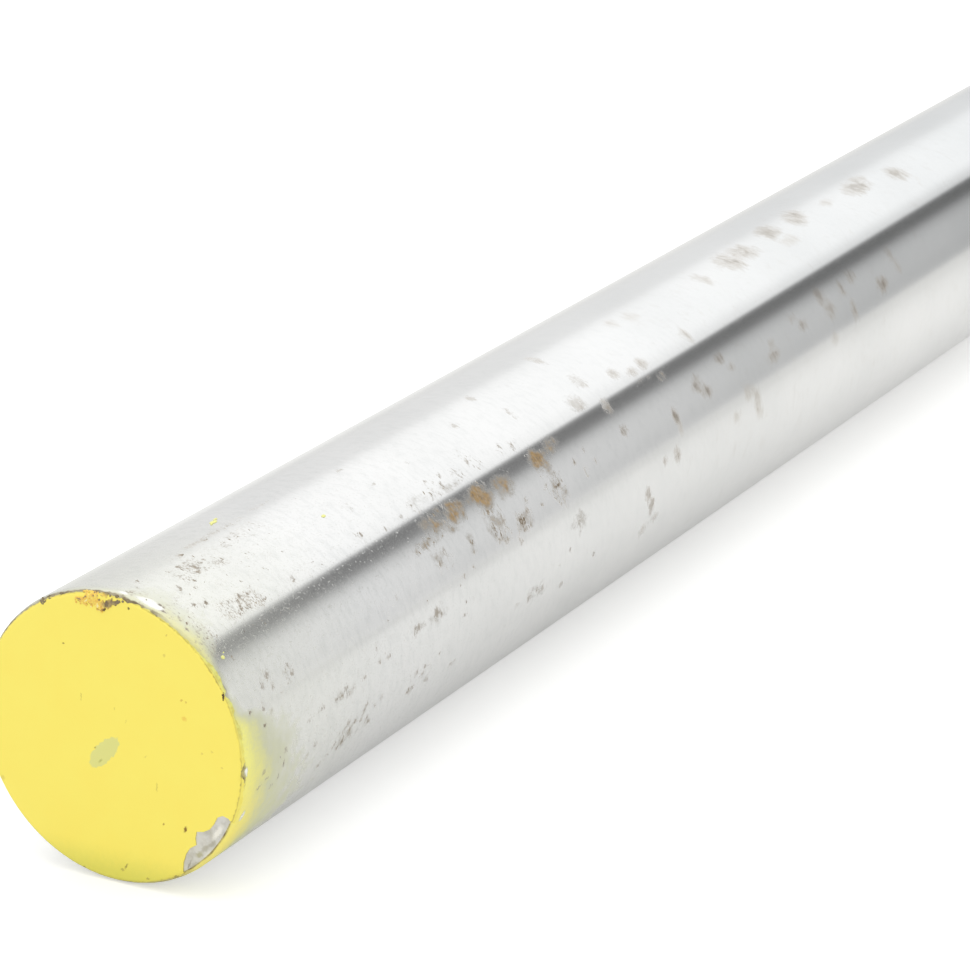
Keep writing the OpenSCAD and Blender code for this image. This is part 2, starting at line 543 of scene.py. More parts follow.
# End paint: yellow alkyd marking enamel, dabbed on, which dries flat and softly shiny.
paintLook = {
    "colour": "#ffee6a", "deep": "#ffe862", "thin": "#dcdd8c", "low": "#c9cd55",
    "roughness": 0.42,
    "rubAndShadeLine": "#dccb58", "cornerDark": "#6f5f3c", "drop": "#eef09a",
    "lap": "#dbde82", "lapDeep": "#cbc465",
    # how dark the line along the film's corner is, by degrees from the top: rust, nicks, and
    # painted shade along the corner
    "corner": [(-180, 0.3), (0, 0.2), (24, 0.7), (46, 0.6), (52, 0.75), (60, 1.0),
               (66, 0.4), (77, 0.0), (86, 0.05), (89, 0.8), (97, 0.9), (104, 0.3),
               (114, 0.7), (135, 0.8), (150, 0.6), (180, 0.3)],
    "thinSpot": (-0.9, -1.9), "thinReach": (3.1, 1.25), "thinTilt": 47,
    "thickness": 0.1,        # millimetres
    "marks": [(10.55, -9.7, 0.62, 0.3, 76, "#7d5a14", 0.95),
              (-6.3, 11.3, 0.26, 0.16, 0, "#8a7420", 0.85),
              (3.3, 17.6, 0.28, 0.24, 0, "#5b511c", 0.95),
              (7.4, -9.7, 0.26, 0.18, 20, "#b08f35", 0.8),
              (-4.0, 4.8, 0.6, 0.14, 88, "#c4b04a", 0.7),
              (6.6, -5.0, 0.8, 0.14, 88, "#c9b64c", 0.6),
              (10.5, 7.1, 0.26, 0.2, 0, "#d0ab42", 0.7),
              (11.1, 7.0, 0.22, 0.16, 0, "#d0ab42", 0.7),
              (10.8, 4.8, 0.5, 0.45, 0, "#efc74e", 0.7),
              (1.8, -16.5, 0.6, 0.16, 60, "#9b8d3f", 0.8),
              (1.2, -17.1, 0.4, 0.2, 10, "#a89a45", 0.6),
              (-2.2, -1.6, 0.22, 0.14, 20, "#a39a40", 0.8),
              (-1.5, -3.2, 0.5, 0.2, 50, "#b3b255", 0.7),
              (0.8, 4.1, 0.35, 0.12, 80, "#ddcb55", 0.6),
              (2.4, 2.8, 0.35, 0.12, 60, "#ddcb55", 0.6),
              (8.2, 12.5, 0.3, 0.3, 0, "#dcc75c", 0.6),
              (8.6, 15.1, 0.2, 0.2, 0, "#cdb551", 0.6),
              (14.6, 1.3, 0.25, 0.2, 0, "#e0c958", 0.6),
              (13.2, 0.8, 0.2, 0.2, 0, "#e0c958", 0.6),
              (16.0, -0.5, 0.3, 0.15, 0, "#e0c958", 0.6),
              (5.1, -1.3, 0.4, 0.12, 30, "#e5d35c", 0.6),
              (-16.2, -8.4, 0.5, 0.5, 0, "#d5c25a", 0.5),
              (-8.2, -17.0, 0.3, 0.2, 30, "#bda94a", 0.7),
              (-4.4, -18.0, 0.35, 0.22, 10, "#8a7a35", 0.8),
              (4.9, -17.5, 0.4, 0.2, 20, "#a39344", 0.7),
              (9.0, -16.3, 0.45, 0.22, 25, "#84763c", 0.8)],
}


def yellowPaint():
    material, tree = newMaterial("alkydMarkingEnamel")
    point, along, across, up, degrees = rodPlaces(tree)
    place = addNode(tree, "CombineXYZ", None, [across, up, 0])
    mottle = addNode(tree, "TexNoise", None, {"Vector": point, "Scale": 0.22, "Detail": 4})
    mottleShare = addNode(tree, "MapRange", None, {
        "Value": mottle.outputs["Fac"], "From Min": 0.35, "From Max": 0.75, "To Max": 0.35})
    base = addNode(tree, "Mix", {"data_type": "RGBA"}, {
        0: mottleShare, 6: linear(paintLook["colour"]), 7: linear(paintLook["deep"])})
    # the thin spot near the middle, where the steel dulls the yellow
    wobble = addNode(tree, "TexNoise", None, {"Vector": point, "Scale": 1.4, "Detail": 3})
    moved = addNode(tree, "VectorMath", {"operation": "MULTIPLY_ADD"},
                    [wobble.outputs["Color"], (0.9, 0.9, 0), place])
    turned = addNode(tree, "Mapping", {"vector_type": "TEXTURE"}, {
        "Vector": moved,
        "Location": (paintLook["thinSpot"][0] + 0.45, paintLook["thinSpot"][1] + 0.45, 0),
        "Rotation": (0, 0, math.radians(paintLook["thinTilt"]))})
    spot = ellipseMask(tree, turned, (0, 0, 0), (*paintLook["thinReach"], 1), 0.12)
    # and a duller arc low on the face
    lowArc = addNode(tree, "MapRange", {"interpolation_type": "SMOOTHSTEP"}, {
        "Value": addNode(tree, "Math", {"operation": "SUBTRACT"}, [up, addNode(
            tree, "Math", {"operation": "MULTIPLY"}, [wobble.outputs["Fac"], 1.2])]),
        "From Min": -14.4, "From Max": -19.2, "To Max": 0.58})
    thin = addNode(tree, "Math", {"operation": "MULTIPLY"}, [spot, 0.85])
    toned = addNode(tree, "Mix", {"data_type": "RGBA"}, {
        0: thin, 6: base.outputs[2], 7: linear(paintLook["thin"])})
    toned = addNode(tree, "Mix", {"data_type": "RGBA"}, {
        0: lowArc, 6: toned.outputs[2], 7: linear(paintLook["low"])})
    # where it turns over the edge break it is rubbed, in a thin line that is partly painted
    # shade along the corner
    rubAndShadeLine = addNode(tree, "Math", {"operation": "MULTIPLY_ADD"}, [
        wobble.outputs["Fac"], 0.16, along])
    # painted shade: the darker yellow of the corner line, where the paint turns over the edge
    # break
    lapShare = addNode(tree, "MapRange", {"interpolation_type": "SMOOTHSTEP"}, {
        "Value": addNode(tree, "Math", {"operation": "ABSOLUTE"}, [addNode(
            tree, "Math", {"operation": "SUBTRACT"}, [rubAndShadeLine, 0.23])]),
        "From Min": 0.1, "From Max": 0.02, "To Max": 0.65})
    share = addNode(tree, "MapRange", None, {
        "Value": degrees, "From Min": -180, "From Max": 180})
    corner = addRamp(tree, share, [(turn, (amount, amount, amount, 1))
                                   for turn, amount in paintLook["corner"]])
    cornerDark = addNode(tree, "Math", {"operation": "MULTIPLY"}, [
        corner.outputs["Color"], addNode(tree, "MapRange", None, {
            "Value": wobble.outputs["Fac"], "From Min": 0.4, "From Max": 0.56})])
    cornerTone = addNode(tree, "Mix", {"data_type": "RGBA"}, {
        0: cornerDark, 6: linear(paintLook["rubAndShadeLine"]), 7: linear(paintLook["cornerDark"])})
    toned = addNode(tree, "Mix", {"data_type": "RGBA"}, {
        0: lapShare, 6: toned.outputs[2], 7: cornerTone.outputs[2]})
    # thinner past the corner on the upper side, and in the drops on the side
    upper = addNode(tree, "MapRange", None, {
        "Value": degrees, "From Min": 92, "From Max": 74, "To Min": 0.25,
        "To Max": 0.85})
    pastCorner = addNode(tree, "MapRange", None, {
        "Value": rubAndShadeLine, "From Min": 0.22, "From Max": 0.36})
    pastCorner = addNode(tree, "Math", {"operation": "MULTIPLY"}, [pastCorner, upper])
    onSteel = addNode(tree, "MapRange", None, {
        "Value": along, "From Min": 1.4, "From Max": 1.8, "To Max": 0.75})
    lapTone = addNode(tree, "Mix", {"data_type": "RGBA"}, {
        0: addNode(tree, "MapRange", None, {
            "Value": wobble.outputs["Fac"], "From Min": 0.44, "From Max": 0.6}),
        6: linear(paintLook["lap"]), 7: linear(paintLook["lapDeep"])})
    toned = addNode(tree, "Mix", {"data_type": "RGBA"}, {
        0: pastCorner, 6: toned.outputs[2], 7: lapTone.outputs[2]})
    toned = addNode(tree, "Mix", {"data_type": "RGBA"}, {
        0: onSteel, 6: toned.outputs[2], 7: linear(paintLook["drop"])})
    toned = addMarks(tree, toned, paintLook["marks"])
    skin = addNode(tree, "TexNoise", None, {"Vector": point, "Scale": 1.1, "Detail": 5})
    bump = addNode(tree, "Bump", None, {
        "Strength": 0.1, "Distance": 0.03 * mm, "Height": skin.outputs["Fac"]})
    shader = addNode(tree, "BsdfPrincipled", None, {
        "Base Color": toned.outputs[2], "Roughness": paintLook["roughness"],
        "Normal": bump})
    finishMaterial(tree, shader)
    return material


# Rust: dry iron oxide, matt and grainy, from a grey-brown film to orange powder.
rustLook = {"faint": "#c2bcb2", "dark": "#63543f", "orange": "#a3875a"}


def rustFilm():
    material, tree = newMaterial("ironOxideFilm")
    coords = addNode(tree, "TexCoord")
    tone = addNode(tree, "Attribute", {"attribute_name": "tone"})
    warmth = addNode(tree, "Attribute", {"attribute_name": "warmth"})
    grain = addNode(tree, "TexNoise", None, {
        "Vector": coords.outputs["Object"], "Scale": 4 / mm, "Detail": 4})
    grainShare = addNode(tree, "MapRange", None, {
        "Value": grain.outputs["Fac"], "From Min": 0.3, "From Max": 0.7,
        "To Min": -0.25, "To Max": 0.25})
    depth = addNode(tree, "Math", {"operation": "ADD", "use_clamp": True},
                    [tone.outputs["Fac"], grainShare])
    grey = addNode(tree, "Mix", {"data_type": "RGBA"}, {
        0: depth, 6: linear(rustLook["faint"]), 7: linear(rustLook["dark"])})
    warm = addNode(tree, "Math", {"operation": "MULTIPLY"}, [warmth.outputs["Fac"], 0.6])
    base = addNode(tree, "Mix", {"data_type": "RGBA"}, {
        0: warm, 6: grey.outputs[2], 7: linear(rustLook["orange"])})
    bump = addNode(tree, "Bump", None, {
        "Strength": 0.6, "Distance": 0.02 * mm, "Height": grain.outputs["Fac"]})
    shader = addNode(tree, "BsdfPrincipled", None, {
        "Base Color": base.outputs[2], "Roughness": 0.85, "Normal": bump})
    finishMaterial(tree, shader)
    return material


crustLook = {
    "yellow": "#f8dc66", "orange": "#eec05c", "cream": "#fbeeb4", "brown": "#85775c",
    "centre": (-1.9, 17.4), "reach": (4.0, 1.9),
    "marks": [(0.6, 17.6, 1.5, 0.8, 5, "#8d8066", 0.75),
              (0.2, 17.6, 0.8, 0.45, 70, "#75634a", 0.8),
              (-0.1, 16.8, 0.5, 0.3, 25, "#5f4a2c", 0.95),
              (-0.9, 16.7, 0.9, 0.16, -20, "#c08d3e", 0.7),
              (-2.2, 17.2, 0.8, 0.14, 12, "#b98a40", 0.6),
              (-3.9, 17.3, 0.5, 0.2, 0, "#a6834a", 0.75),
              (1.9, 17.6, 0.9, 0.14, -5, "#6b5238", 0.8),
              (-0.6, 18.4, 0.9, 0.25, 0, "#a09470", 0.6),
              (1.3, 18.1, 1.1, 0.35, 0, "#7b6a58", 0.7),
              (16.4, 8.8, 0.6, 1.2, 0, "#4f3d22", 0.9)],
}


def paintedRust():
    material, tree = newMaterial("paintSoakedRust")
    point, along, across, up, degrees = rodPlaces(tree)
    place = addNode(tree, "CombineXYZ", None, [across, up, 0])
    soaked = ellipseMask(tree, place, (*crustLook["centre"], 0),
                         (*crustLook["reach"], 1), 0.3)
    lumps = addNode(tree, "TexNoise", None, {"Vector": point, "Scale": 2.2, "Detail": 5})
    fleck = addNode(tree, "MapRange", None, {
        "Value": lumps.outputs["Fac"], "From Min": 0.44, "From Max": 0.58})
    bright = addNode(tree, "Mix", {"data_type": "RGBA"}, {
        0: fleck, 6: linear(crustLook["yellow"]), 7: linear(crustLook["orange"])})
    creamShare = addNode(tree, "MapRange", None, {
        "Value": lumps.outputs["Fac"], "From Min": 0.4, "From Max": 0.34, "To Max": 0.8})
    bright = addNode(tree, "Mix", {"data_type": "RGBA"}, {
        0: creamShare, 6: bright.outputs[2], 7: linear(crustLook["cream"])})
    darkShare = addNode(tree, "MapRange", None, {
        "Value": lumps.outputs["Fac"], "From Min": 0.6, "From Max": 0.66})
    brownAt = addNode(tree, "Math", {"operation": "SUBTRACT", "use_clamp": True},
                      [soaked, darkShare])
    base = addNode(tree, "Mix", {"data_type": "RGBA"}, {
        0: brownAt, 6: linear(crustLook["brown"]), 7: bright.outputs[2]})
    base = addMarks(tree, base, crustLook["marks"])
    bump = addNode(tree, "Bump", None, {
        "Strength": 0.7, "Distance": 0.05 * mm, "Height": lumps.outputs["Fac"]})
    shader = addNode(tree, "BsdfPrincipled", None, {
        "Base Color": base.outputs[2], "Roughness": 0.7, "Normal": bump})
    finishMaterial(tree, shader)
    return material


steelMaterial = groundSteel()
cutMaterial = cutSteel()
paintMaterial = yellowPaint()
rustMaterial = rustFilm()
crustMaterial = paintedRust()
print("materials made")


# Rust flecks lie in patches, mostly as short strokes round the rod. Each row: from and
# to along the rod, top and low degrees, how many, length in millimetres, how dark, how
# orange.
fleckRows = [
    (9, 18.5, 7, 19, 62, 0.8, 0.5, 0.4), (8, 16.5, 31, 41, 58, 0.8, 0.5, 0.6),
    (5.5, 8.5, 26, 31, 10, 0.7, 0.6, 0.3), (3, 6, 2, 8, 8, 0.9, 0.45, 0.3),
    (12, 16, 1, 5, 8, 1.0, 0.5, 0.4), (20, 36, -1, 3, 24, 0.9, 0.4, 0.4),
    (21, 30, 6, 13, 24, 0.9, 0.45, 0.3), (1, 34, 2, 41, 420, 0.5, 0.25, 0.2),
    (4, 34, 42, 49, 60, 0.4, 0.4, 0.1), (5, 15, 55, 72, 22, 0.7, 0.3, 0.2),
    (0.7, 4.5, 20, 50, 60, 0.7, 0.5, 0.4), (0.8, 3.5, 1, 20, 20, 0.7, 0.4, 0.4),
    (14, 19.5, 84, 90, 10, 0.7, 0.3, 0.2),
    (21.5, 29, 84, 90, 14, 0.8, 0.35, 0.3), (31.5, 37.5, 76, 86, 12, 0.8, 0.3, 0.2),
    (41, 46, 77, 83, 12, 0.9, 0.4, 0.3), (46.5, 50, 75, 84, 10, 1.0, 0.35, 0.3),
    (21, 33, 96, 111, 30, 0.8, 0.3, 0.2), (40, 47, 95, 106, 16, 1.0, 0.35, 0.2),
    (40, 42.5, 34, 42, 6, 0.9, 0.45, 0.3), (43, 45, 21, 29, 5, 1.0, 0.35, 0.2),
    (3, 12, 74, 106, 20, 0.6, 0.35, 0.3), (50, 53, 34, 42, 8, 1.0, 0.45, 0.4),
    (53, 57, 34, 42, 12, 1.0, 0.45, 0.45), (57, 63.5, 31, 42, 14, 1.0, 0.4, 0.45),
    (65, 68, 32, 41, 9, 1.1, 0.45, 0.4), (70.5, 72.5, 27, 40, 10, 1.2, 0.45, 0.4),
    (78.5, 83, 34, 41, 8, 1.0, 0.45, 0.4), (47.5, 52, 51, 56, 16, 0.9, 0.5, 0.5),
    (51.5, 57, 44, 57, 44, 0.9, 0.5, 0.6), (57, 63, 43, 55, 40, 0.9, 0.5, 0.6),
    (65.5, 70.5, 43, 58, 44, 0.9, 0.55, 0.6), (71.5, 76.5, 44, 55, 14, 1.0, 0.35, 0.4),
    (82.5, 86.5, 44, 57, 26, 0.9, 0.45, 0.6), (87.5, 90.5, 42, 50, 8, 0.9, 0.35, 0.5),
    (51, 55, 56, 68, 24, 1.0, 0.45, 0.3), (66, 70, 58, 70, 44, 1.2, 0.5, 0.3),
    (72.5, 76.5, 62, 71, 30, 1.2, 0.55, 0.4), (84, 87, 54, 70, 28, 1.2, 0.5, 0.3),
]
# Single flecks: along, degrees, size round the rod and along it, how dark
fleckSpots = [
    (15.3, 3.4, 0.5, 1.2, 0.55), (4.9, 3.5, 0.4, 1.0, 0.5), (21.3, 2.3, 0.5, 0.9, 0.45),
    (11.8, 8.5, 1.2, 0.5, 0.5), (13.5, 12.5, 1.0, 0.7, 0.5), (12.7, 15, 1.0, 0.7, 0.5),
    (14.8, 12, 0.5, 0.3, 0.6), (10.7, 17.5, 0.9, 0.5, 0.5), (15.9, 11.5, 0.8, 0.3, 0.5),
    (17.3, 17, 0.5, 0.3, 0.5), (7.5, 17.5, 0.6, 0.4, 0.45), (7.0, 19, 0.5, 0.3, 0.45),
    (9.2, 21, 0.4, 0.3, 0.5), (24.8, 9.7, 0.6, 0.4, 0.5), (22, 8.5, 0.5, 0.5, 0.4),
    (25.2, 12.5, 0.7, 0.3, 0.4), (26.8, 26.3, 0.3, 0.4, 0.7), (7.9, 28.5, 0.3, 0.7, 0.7),
    (6.0, 27.5, 0.4, 0.5, 0.6), (11.2, 33, 0.5, 0.4, 0.6), (12.6, 34.5, 0.5, 0.4, 0.6),
    (13.5, 33.5, 0.4, 0.4, 0.6), (14.9, 34, 0.7, 0.4, 0.5), (12, 37.5, 0.8, 0.4, 0.6),
    (13.3, 38.5, 0.5, 0.6, 0.6), (16.8, 39, 0.5, 0.5, 0.6), (11, 39.5, 0.4, 0.4, 0.6),
    (23.8, 38.3, 0.4, 0.6, 0.45), (29.2, 36.6, 0.3, 0.6, 0.45), (30.5, 39.3, 0.3, 0.4, 0.5),
    (41.2, 37.5, 1.4, 0.4, 0.45), (46, 40, 0.4, 0.4, 0.4), (40.2, 7, 0.5, 0.4, 0.3),
    (4.6, 51.9, 0.4, 0.45, 0.6), (7.2, 66, 0.8, 0.6, 0.25), (12.3, 66.5, 0.5, 0.5, 0.3),
    (12.5, 69.8, 0.4, 0.7, 0.35), (5.5, 79.2, 0.35, 0.45, 0.7), (36.6, 71, 0.25, 0.3, 0.5),
    (17.6, 87.2, 0.4, 0.6, 0.3), (18.7, 86.2, 0.35, 1.0, 0.3), (21.8, 87.3, 0.35, 0.9, 0.35),
    (23.2, 86.8, 0.4, 0.9, 0.35), (24.3, 85.5, 1.0, 0.3, 0.35), (26.3, 86.2, 0.35, 1.0, 0.3),
    (28.8, 86, 0.25, 1.0, 0.25), (15.3, 88, 0.35, 0.5, 0.3), (32.5, 78.5, 0.8, 0.4, 0.25),
    (32.7, 83.3, 0.5, 0.4, 0.4), (35.3, 83.6, 0.35, 1.2, 0.3), (46.5, 73, 0.35, 0.4, 0.5),
    (42.8, 80.3, 0.5, 1.6, 0.4), (44.3, 79.8, 0.35, 0.6, 0.4), (48, 79, 0.6, 1.3, 0.27),
    (49, 80.5, 0.4, 0.5, 0.35), (40.1, 65, 0.6, 0.3, 0.35), (15.3, 102.5, 1.0, 0.4, 0.3),
    (4, 102.5, 0.3, 0.9, 0.45), (4.8, 97, 0.4, 0.7, 0.4), (22.5, 106, 1.2, 0.5, 0.35),
    (23.4, 109.5, 0.8, 0.5, 0.35), (24.2, 102.5, 0.5, 0.5, 0.3), (27, 101.5, 0.6, 0.6, 0.4),
    (29.5, 97, 0.4, 0.6, 0.25), (30.2, 104, 0.8, 0.4, 0.35), (30.7, 106, 0.5, 0.9, 0.35),
    (41.2, 104.3, 0.9, 1.8, 0.41), (42.3, 98, 0.4, 0.4, 0.4), (44.7, 98, 0.5, 0.3, 0.4),
    (45.3, 104.3, 0.4, 1.0, 0.3), (48.2, 96.5, 0.3, 0.5, 0.65), (60.4, 32, 0.5, 0.5, 0.35),
    (64, 32.5, 0.7, 0.6, 0.35), (66.9, 34.5, 1.2, 0.4, 0.35), (71.2, 34, 2.0, 0.5, 0.4),
    (79.3, 35, 1.4, 0.4, 0.3), (81.5, 38.5, 0.8, 0.7, 0.3), (54, 37, 0.8, 0.3, 0.5),
    (55.8, 36.5, 0.4, 0.6, 0.4), (57.3, 38, 0.4, 0.5, 0.4), (59.3, 37.5, 1.3, 0.4, 0.45),
    (62.3, 37, 1.2, 0.4, 0.45), (50.5, 39.5, 0.4, 1.2, 0.4), (48.5, 54, 0.4, 1.2, 0.4),
    (50.5, 53.5, 0.4, 0.7, 0.45), (52.3, 52.5, 0.5, 0.8, 0.55), (53, 55, 0.4, 0.7, 0.5),
    (55.5, 54, 0.7, 0.4, 0.5), (58, 54, 0.4, 0.6, 0.45), (60, 53.2, 0.4, 0.6, 0.5),
    (52, 62, 1.5, 0.4, 0.3), (51.5, 66, 0.8, 0.4, 0.25), (54.2, 59, 1.1, 0.4, 0.35),
    (60.7, 62.5, 1.0, 0.5, 0.55), (60.6, 66, 0.5, 0.35, 0.4), (67, 63, 1.6, 0.5, 0.6),
    (68.6, 69.5, 0.6, 1.1, 0.3), (69.5, 61, 2.0, 0.4, 0.3), (67.3, 55.5, 1.2, 0.9, 0.5),
    (68.6, 54.5, 0.9, 0.7, 0.5), (74, 66, 0.9, 1.2, 0.55), (75.2, 69, 0.7, 1.4, 0.4),
    (76.6, 60, 0.9, 1.1, 0.35), (72, 73, 0.8, 0.6, 0.2), (79.8, 65, 0.6, 0.4, 0.35),
    (82.5, 60, 3.6, 0.35, 0.2), (85.3, 61.3, 0.45, 1.4, 0.65), (85.6, 66.5, 2.8, 0.4, 0.25),
    (86, 56, 0.8, 0.5, 0.35), (91.8, 57, 0.8, 0.6, 0.35), (93.5, 63, 1.3, 1.0, 0.2),
    (96.8, 61, 0.8, 0.9, 0.25), (95.3, 55, 1.0, 0.4, 0.2), (58.9, 71.3, 0.5, 0.6, 0.5),
    (56.5, 72.5, 0.35, 1.5, 0.25), (55, 75, 0.4, 0.8, 0.3), (55.7, 82, 0.5, 0.5, 0.4),
    (54.8, 87, 0.4, 1.2, 0.35), (57.5, 83, 0.3, 0.4, 0.3), (88, 80, 1.3, 1.6, 0.25),
    (84.7, 89, 0.6, 0.6, 0.3), (82, 93, 0.4, 1.2, 0.2), (69.8, 98, 0.6, 0.5, 0.3),
    (73, 98.5, 1.3, 0.9, 0.25), (75.5, 97, 0.6, 1.0, 0.3), (77, 98.5, 0.4, 1.0, 0.25),
    (83, 102.5, 0.4, 1.4, 0.3), (92.3, 98.5, 0.6, 0.8, 0.35), (68.5, 104.5, 0.4, 0.6, 0.3),
    (52.5, 105.5, 0.5, 1.6, 0.3), (45.5, 104.5, 0.4, 0.8, 0.3), (1.9, 7, 1.1, 0.4, 0.5),
    (2.1, 20, 0.9, 0.4, 0.5), (1.3, 23, 0.9, 0.4, 0.45), (2.0, 29, 0.6, 0.4, 0.4),
    (1.3, 34, 0.9, 0.3, 0.45), (2.9, 41, 0.4, 0.5, 0.45), (46, 5, 0.4, 0.8, 0.2),
    (52, 5.5, 0.4, 1.4, 0.2), (52.5, 21, 0.3, 1.1, 0.15), (62, 20, 1.2, 0.5, 0.15),
    (22, 0.8, 0.3, 24, 0.35), (35, 0.6, 0.2, 10, 0.25), (77, 16, 1.5, 1.5, 0.15),
    (87, 7, 2, 1.5, 0.12), (88, 25, 2.5, 1.5, 0.12), (101.5, 35.5, 1.8, 2.6, 0.15),
    (106.5, 6, 2.6, 1.2, 0.12), (106.5, 28, 1.8, 1.8, 0.18), (114.5, 33, 1, 1.8, 0.25),
    (118.5, 37, 1, 1.8, 0.3), (122, 35.5, 1.2, 1.4, 0.4), (137.6, 34.5, 1.8, 1, 0.4),
    (128, 10, 1.5, 1.5, 0.1), (133, 12, 1.5, 2.5, 0.12), (156, 14, 2.2, 1.8, 0.3),
    (166.5, 13.5, 3.2, 3.4, 0.45), (172, 12, 2.4, 4, 0.45), (184, 8, 2.2, 3.4, 0.45),
    (182.5, 12, 1.6, 1.8, 0.45), (184, 20, 1.5, 3, 0.12), (194.5, 7, 2.2, 3, 0.45),
    (192.5, 12, 2, 2.4, 0.4), (204.5, 11, 1.2, 2, 0.25), (216, 12, 2.4, 5, 0.45),
    (220, 7.5, 1.5, 2.6, 0.25), (229, 17, 2.6, 3, 0.45), (107, 44.5, 1.8, 1.4, 0.3),
    (107.3, 57, 1.2, 1.5, 0.55), (121.7, 63, 1.9, 1, 0.55), (121.8, 69, 1.2, 0.8, 0.35),
    (119, 78, 1.4, 1.2, 0.4), (115, 78, 0.7, 0.7, 0.35), (130.5, 57.5, 1, 1.6, 0.5),
    (132.6, 61, 1.2, 1.4, 0.55), (132, 54, 1, 0.8, 0.4), (140.5, 52, 1, 1.5, 0.45),
    (142, 58, 0.8, 0.8, 0.35), (146.5, 78, 3, 1.4, 0.4), (144, 72, 1.4, 1.2, 0.3),
    (139, 79, 0.8, 1, 0.25), (155.5, 64, 1, 2.4, 0.4), (156, 59, 0.8, 1.2, 0.3),
    (167.5, 59, 1, 1.5, 0.45), (165.5, 54, 1, 1, 0.3), (109, 88, 1.8, 1, 0.45),
    (110, 94, 1.8, 1.1, 0.45), (111.4, 100, 1, 1.4, 0.25), (108, 103, 1.2, 1.6, 0.18),
    (177, 52, 2, 1.6, 0.4), (177.8, 60, 1.8, 2, 0.4), (184.3, 55, 2, 1.3, 0.4),
    (185, 66, 2.2, 1.3, 0.4), (189, 51, 1.4, 1.8, 0.35), (197.5, 62.5, 1.5, 2.2, 0.6),
    (204.5, 52, 1.8, 1.2, 0.4), (204.8, 60, 1.8, 1.2, 0.35), (176, 73, 1.4, 1.4, 0.2),
    (24.3, 107.3, 1.1, 0.4, 0.4), (25.8, 104.5, 1.1, 0.5, 0.4), (26.6, 107.5, 1, 0.4, 0.35),
    (28.4, 102.8, 1, 0.5, 0.35), (28.9, 99.5, 0.8, 0.4, 0.3), (25.2, 100.2, 0.7, 0.5, 0.3),
    (31.6, 100.5, 0.7, 0.6, 0.3), (33.2, 98.4, 0.4, 0.9, 0.25), (21.2, 110, 0.4, 1.2, 0.35),
    (19.6, 112, 0.4, 1.4, 0.3), (8.7, 63.5, 0.6, 0.5, 0.3), (9.2, 68, 0.7, 0.4, 0.3),
    (13.3, 64.5, 0.7, 0.4, 0.3), (13.6, 67.8, 0.5, 0.6, 0.3), (10.5, 71.5, 0.5, 0.5, 0.2),
    (6, 73.5, 0.8, 0.5, 0.3), (7.5, 76, 0.4, 0.8, 0.3), (3.2, 72, 0.5, 0.5, 0.5),
    (9.5, 99, 0.7, 0.4, 0.4), (8.6, 103, 0.8, 0.4, 0.45), (7.2, 105.5, 0.7, 0.4, 0.4),
    (9.8, 93.5, 0.6, 0.4, 0.3), (5.6, 100.5, 0.5, 0.5, 0.35), (17, 100, 0.6, 0.8, 0.2),
]
wearShape = {"spotRise": 0.46, "spotWarm": 0.3, "sparse": (0.08, 0.2, 0.15),
             "lowSide": (56, 100, 1.5)}   # below these degrees, as far along: darker
# Haze of rust on the steel: along, degrees, half length, half height in degrees, amount
hazeSpots = [
    (53.6, 47.6, 2.0, 3.5, 0.55), (55.6, 49.5, 1.4, 3.5, 0.75), (60.8, 48, 2.2, 4.5, 1.0),
    (59.6, 50.5, 1.2, 3, 0.7), (67.6, 47.5, 2.2, 4.0, 1.0), (68.4, 50.5, 1.8, 4.5, 1.0),
    (73.6, 50, 2.6, 5, 0.6), (84.2, 47.8, 1.8, 4.5, 1.0), (85.2, 51.5, 1.4, 4, 0.6),
    (89.2, 45.5, 1.8, 3.2, 0.65), (124.2, 45.4, 1.2, 2.2, 0.6), (107, 44.8, 1.4, 2.6, 0.4),
    (57.6, 46, 3.5, 3, 0.4), (63.8, 47, 2.5, 3.2, 0.45), (65.8, 46, 2, 2.5, 0.4),
    (70.8, 49, 2.6, 3.5, 0.35), (86.9, 47.5, 1.8, 3.5, 0.4), (58, 53, 3, 3.5, 0.3),
    (67, 56, 2.2, 4, 0.35), (52.2, 58, 1.8, 6, 0.3),
    (101.3, 36, 2.4, 4, 0.3), (120, 42, 2.0, 1.5, 0.4), (67.5, 62, 2.0, 7, 0.42),
    (74.5, 67, 2.0, 4, 0.5), (85.5, 62, 1.6, 8, 0.45), (60.5, 63, 1.2, 4, 0.35),
    (63.5, 38.5, 2.5, 2.5, 0.3), (56, 38, 2.5, 3, 0.25), (48.0, 79.5, 2.4, 3.5, 0.3),
    (88.0, 80, 2.6, 5, 0.3), (43.0, 80, 2.4, 2, 0.3), (23.5, 87, 2.6, 2.4, 0.25),
    (25.0, 105, 3.0, 5, 0.3), (75.0, 98, 3.5, 3.5, 0.3), (52.5, 54, 2.0, 3, 0.3)]

# The rod: a ground bar with broken edges, worn along the rims
rodShape = {
    "aroundSteps": 240,
    "edgeBreak": 0.6,
    "rimWear": 0.14,         # millimetres that the worn rims dip
    "wearGrain": 1.3,        # millimetres
    "rimRings": [0.8, 1.1, 1.4, 1.7, 2.0],   # from the painted end
    "plainRings": [1.4, 0.8],                # from the plain end
    # rings that carry the painted wear: to this place, this many cuts
    "wearRings": [(2, 52, 99), (52, 122, 99), (122, 242, 99), (242, 900, 20)],
    "dents": [               # along, degrees, reach and depth in millimetres
        (1.3, 14, 1.1, 0.07), (1.5, 19, 1.2, 0.09), (1.7, 23, 0.9, 0.06),
        (0.2, 93, 0.5, 0.07), (0.3, 62, 0.4, 0.08),
        (0.2, 137, 0.8, 0.12), (0.3, 205, 0.9, 0.12), (0.2, 262, 0.7, 0.1)],
}
faceX = paintedEnd + paintLook["thickness"] * mm     # the steel under the paint


def insideShare(value, start, end, fade):
    # 1 inside a span, falling to 0 over the fade outside it
    away = max(start - value, value - end, 0.0) / fade
    return max(0.0, 1 - away) ** 0.8


